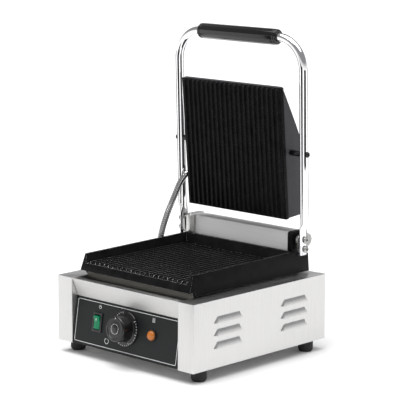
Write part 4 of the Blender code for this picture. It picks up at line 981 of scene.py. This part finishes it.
def upper_cover():
    """Pressed cover with a long chamfer to its top edge and rounded corners."""
    shell = block((-COVER_HALF, COVER_FRONT, -COVER_REACH), (COVER_HALF, COVER_DEPTH, COVER_REACH))
    for first, second in (
        (COVER_KNEE, (-0.0097, COVER_REACH)),
        ((COVER_DEPTH, 0.0225), COVER_KNEE),
    ):
        along = Vector((0, second[0] - first[0], second[1] - first[1]))
        outward = Vector((0, along.z, -along.y)).normalized()
        opened(shell, "VERT", everything)
        bpy.ops.mesh.bisect(
            plane_co=(0, *first), plane_no=outward, clear_outer=True, use_fill=True
        )
        closed()
    tidy_normals(shell)

    def outer_edge(edge):
        ends = [shell.data.vertices[i].co for i in edge.vertices]
        return not all(end.y < COVER_FRONT + 0.0005 for end in ends)

    opened(shell, "EDGE", outer_edge)
    bpy.ops.mesh.bevel(offset=0.0042, segments=5, affect="EDGES")
    closed()
    opened(shell, "FACE", lambda f: f.center.y < COVER_FRONT + 0.0002 and f.normal.y < -0.9)
    bpy.ops.mesh.delete(type="FACE")
    closed()
    modify(shell, "SOLIDIFY", thickness=0.0015, offset=-1)
    place_at(shell, UPPER_PLACE)
    stand_for(shell, "upper_cover", ENAMEL)


# ---------------------------------------------------------------- hinge and arm
LEG_X = SIDE_X - 0.0153
TUBE = 0.007
ARM_OFFSET = 0.0165
LEG_DROP = 0.0210
ARM_REACH = 0.3245
BEND = 0.050
FLAT_THICK = 0.008
FLAT_END = 0.0185


def handle_tube():
    """One bent tube: flattened ends, straight legs and two quarter bends."""
    steps = [(-LEG_DROP, 1.0), (FLAT_END, 1.0), (FLAT_END + 0.004, 0.85), (FLAT_END + 0.008, 0.45)]
    steps += [(FLAT_END + 0.012, 0.0), (ARM_REACH - BEND, 0.0)]
    foot = (LEG_X, -ARM_OFFSET, -LEG_DROP)
    bpy.ops.mesh.primitive_circle_add(vertices=40, radius=TUBE, location=foot)
    tube = bpy.context.object
    bpy.ops.object.transform_apply(location=True, rotation=True, scale=True)
    opened(tube, "EDGE", everything)
    for (low, _), (high, _) in zip(steps, steps[1:]):
        bpy.ops.mesh.extrude_edges_move(TRANSFORM_OT_translate={"value": (0, 0, high - low)})
    centre = Vector((LEG_X - BEND, -ARM_OFFSET, ARM_REACH - BEND))
    bends = 14
    for step in range(bends):
        turn = math.pi / 2 * (step + 1) / bends
        last = math.pi / 2 * step / bends
        across, up = math.cos(turn) - math.cos(last), math.sin(turn) - math.sin(last)
        move = (BEND * across, 0, BEND * up)
        bpy.ops.mesh.extrude_edges_move(TRANSFORM_OT_translate={"value": move})
        middle = centre + BEND * Vector((math.cos(turn), 0, math.sin(turn)))
        bpy.ops.transform.rotate(
            value=math.pi / 2 / bends, orient_axis="Y", center_override=middle
        )
    bpy.ops.mesh.extrude_edges_move(TRANSFORM_OT_translate={"value": (-(LEG_X - BEND), 0, 0)})
    closed()
    for height, share in steps:
        if not share:
            continue
        thin = 1 - share * (1 - FLAT_THICK / (2 * TUBE))
        wide = 1 + 0.2 * share
        opened(tube, "VERT", lambda v: abs(v.co.z - height) < 0.0005 and v.co.x > 0)
        bpy.ops.transform.resize(
            value=(thin, wide, 1), center_override=(LEG_X - TUBE, -ARM_OFFSET, height)
        )
        closed()
    modify(tube, "MIRROR", use_axis=(True, False, False), merge_threshold=0.0002)
    opened(tube, "EDGE", everything)
    bpy.ops.mesh.select_all(action="DESELECT")
    bpy.ops.mesh.select_non_manifold()
    bpy.ops.mesh.extrude_edges_move(TRANSFORM_OT_translate={"value": (0, 0, 0.0001)})
    closed()
    modify(tube, "SOLIDIFY", thickness=0.0015, offset=-1)
    tidy_normals(tube)
    place_at(tube, ARM_PLACE)
    stand_for(tube, "handle_tube", CHROME)


def grip():
    """Sleeve with broad facets and notched, chamfered ends."""
    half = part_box("handle_grip")[1].x
    outer = 0.0130
    bore = TUBE + GAP
    sleeve = lathe(
        [
            (bore, -half),
            (outer - 0.0022, -half),
            (outer - 0.0004, -half + 0.0022),
            (outer - 0.0002, -half + 0.0050),
            (outer - 0.0012, -half + 0.0056),
            (outer - 0.0012, -half + 0.0066),
            (outer, -half + 0.0072),
            (outer, half - 0.0072),
            (outer - 0.0012, half - 0.0066),
            (outer - 0.0012, half - 0.0056),
            (outer - 0.0002, half - 0.0050),
            (outer - 0.0004, half - 0.0022),
            (outer - 0.0022, half),
            (bore, half),
        ],
        12,
        False,
        False,
        True,
    )
    rounded(sleeve, 0.0009, 2, 20)
    turn = Matrix.Rotation(math.pi / 2, 4, "Y") @ Matrix.Rotation(math.radians(15), 4, "Z")
    place_at(sleeve, ARM_PLACE @ Matrix.Translation((0, -ARM_OFFSET, ARM_REACH)) @ turn)
    stand_for(sleeve, "handle_grip", GRIP, 20)


def bolt(node, radius, length, place, finish, tall=0.004):
    """Domed bolt head with a hexagon socket, and its shank."""
    piece = lathe(
        [
            (0.0026, -length),
            (0.0030, -length + 0.0005),
            (0.0030, 0.0),
            (radius, 0.0),
            (radius, tall * 0.45),
            (radius * 0.94, tall * 0.72),
            (radius * 0.78, tall * 0.94),
            (radius * 0.60, tall),
        ],
        32,
    )
    socket = lathe([(radius * 0.42, tall * 0.4), (radius * 0.42, tall * 2)], 6)
    carve(piece, socket)
    place_at(piece, place)
    stand_for(piece, node, finish)


def fasteners():
    """Bolts, sleeves, washers, lugs and blocks of the hinge and the pivots."""
    for name, side in (("left", -1), ("right", 1)):
        out = Matrix.Rotation(side * math.pi / 2, 4, "Y")
        head_at = LEG_X - TUBE + FLAT_THICK + GAP
        for label, up in (("lower", -0.0115), ("upper", 0.0035)):
            place = ARM_PLACE @ Matrix.Translation((side * head_at, -ARM_OFFSET, up)) @ out
            bolt(f"arm_bolt_{label}_{name}", 0.0055, 0.0120, place, ZINC)
        place = UPPER_PLACE @ Matrix.Translation((side * (LEG_X + TUBE + 0.0004), 0, 0)) @ out
        bolt("pivot_bolt_" + name, 0.0043, 0.0416, place, BLACK_STEEL, 0.0022)
        refined("pivot_sleeve_" + name, 0.0003, BLACK_STEEL)
        refined("thrust_washer_" + name, 0.0003, ZINC)
        refined("arm_lug_" + name, 0.0006, ZINC)
    refined("hinge_block_right", 0.0012, CAST_IRON)
    refined("hinge_block_left", 0.0012, STEEL_UP)
    # The spring box cover takes the near-white steel, with its even light painted in.
    refined("spring_box_cover", 0.0007, BRIGHTENED_STEEL)


# ---------------------------------------------------------------- conduit and supply
CONDUIT = 0.00525
RIB_STEP = 0.0009


def spline_points(points, per_span):
    """Evenly rounded points through a route's own points."""
    route = [points[0] * 2 - points[1], *points, points[-1] * 2 - points[-2]]
    found = []
    for a, b, c, d in zip(route, route[1:], route[2:], route[3:]):
        for step in range(per_span):
            t = step / per_span
            curve = 2 * b + (c - a) * t + (2 * a - 5 * b + 4 * c - d) * t**2
            found.append(0.5 * (curve + (3 * b - a - 3 * c + d) * t**3))
    return [*found, points[-1]]


def ribbed_hose(points, name):
    """Corrugated metal hose along the points, as a mesh."""
    data = bpy.data.curves.new(name, "CURVE")
    data.dimensions = "3D"
    data.bevel_depth = CONDUIT
    data.bevel_resolution = 5
    data.use_fill_caps = True
    line = data.splines.new("POLY")
    line.points.add(len(points) - 1)
    for index, (point, place) in enumerate(zip(line.points, points)):
        point.co = (*place, 1)
        point.radius = 1.0 if index % 4 in (0, 1) else 0.93
    obj = bpy.data.objects.new(name, data)
    bpy.context.scene.collection.objects.link(obj)
    alone(obj)
    bpy.ops.object.convert(target="MESH")
    obj = bpy.context.object
    tidy_normals(obj)
    return obj


def even_steps(points, step):
    """Points at equal steps along a line of points."""
    found = [points[0]]
    left = step
    for a, b in zip(points, points[1:]):
        run = (b - a).length
        while left <= run:
            found.append(a.lerp(b, left / run))
            left += step
        left -= run
    return [*found, points[-1]]


def conduit():
    """Metal hose from the deck to the cover, made as two halves."""
    hinge = Vector(JOINTS["arm_hinge"]["pos_m"])
    start = Vector((-LEG_X, hinge.y - 0.0735, DECK_TOP + 0.0143))
    bends = [
        (0.0000, -0.0720, -0.0315),
        (0.0000, -0.0680, -0.0175),
        (0.0000, -0.0630, -0.0035),
        (0.0010, -0.0555, 0.0145),
        (0.0027, -0.0470, 0.0325),
        (0.0062, -0.0405, 0.0495),
        (0.0095, -0.0365, 0.0625),
        (0.0140, -0.0325, 0.0730),
        (0.0180, -0.0280, 0.0810),
    ]
    middle = [Vector((-LEG_X + x, hinge.y + y, hinge.z + z)) for x, y, z in bends]
    mouth = Vector((-COVER_HALF - GAP - 0.00725, -0.0028, -0.058))
    approach = UPPER_PLACE @ (mouth - Vector((0, 0.004, 0)))
    rise = start + Vector((0, 0, 0.004))
    route = spline_points([start, rise, *middle, approach, UPPER_PLACE @ mouth], 8)
    points = even_steps(route, RIB_STEP)
    half = len(points) // 2
    lower = ribbed_hose(points[: half + 2], "conduit_lower")
    upper = ribbed_hose(points[half:], "conduit_upper")
    for piece in (lower, upper):
        piece.data.materials.clear()
        piece.data.materials.append(HOSE)
        smooth(piece, 60)
    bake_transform(lower)
    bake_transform(upper)
    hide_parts("conduit")
    refined("conduit_elbow", 0.0022, SWITCH)
    refined("conduit_fitting_lower", 0.0003, ZINC)


def supply_gland():
    refined("cable_gland", 0.0004, SWITCH)


housing()
feet()
panel_print()
knob()
lamp()
rocker()
castings()
upper_cover()
handle_tube()
grip()
fasteners()
conduit()
supply_gland()
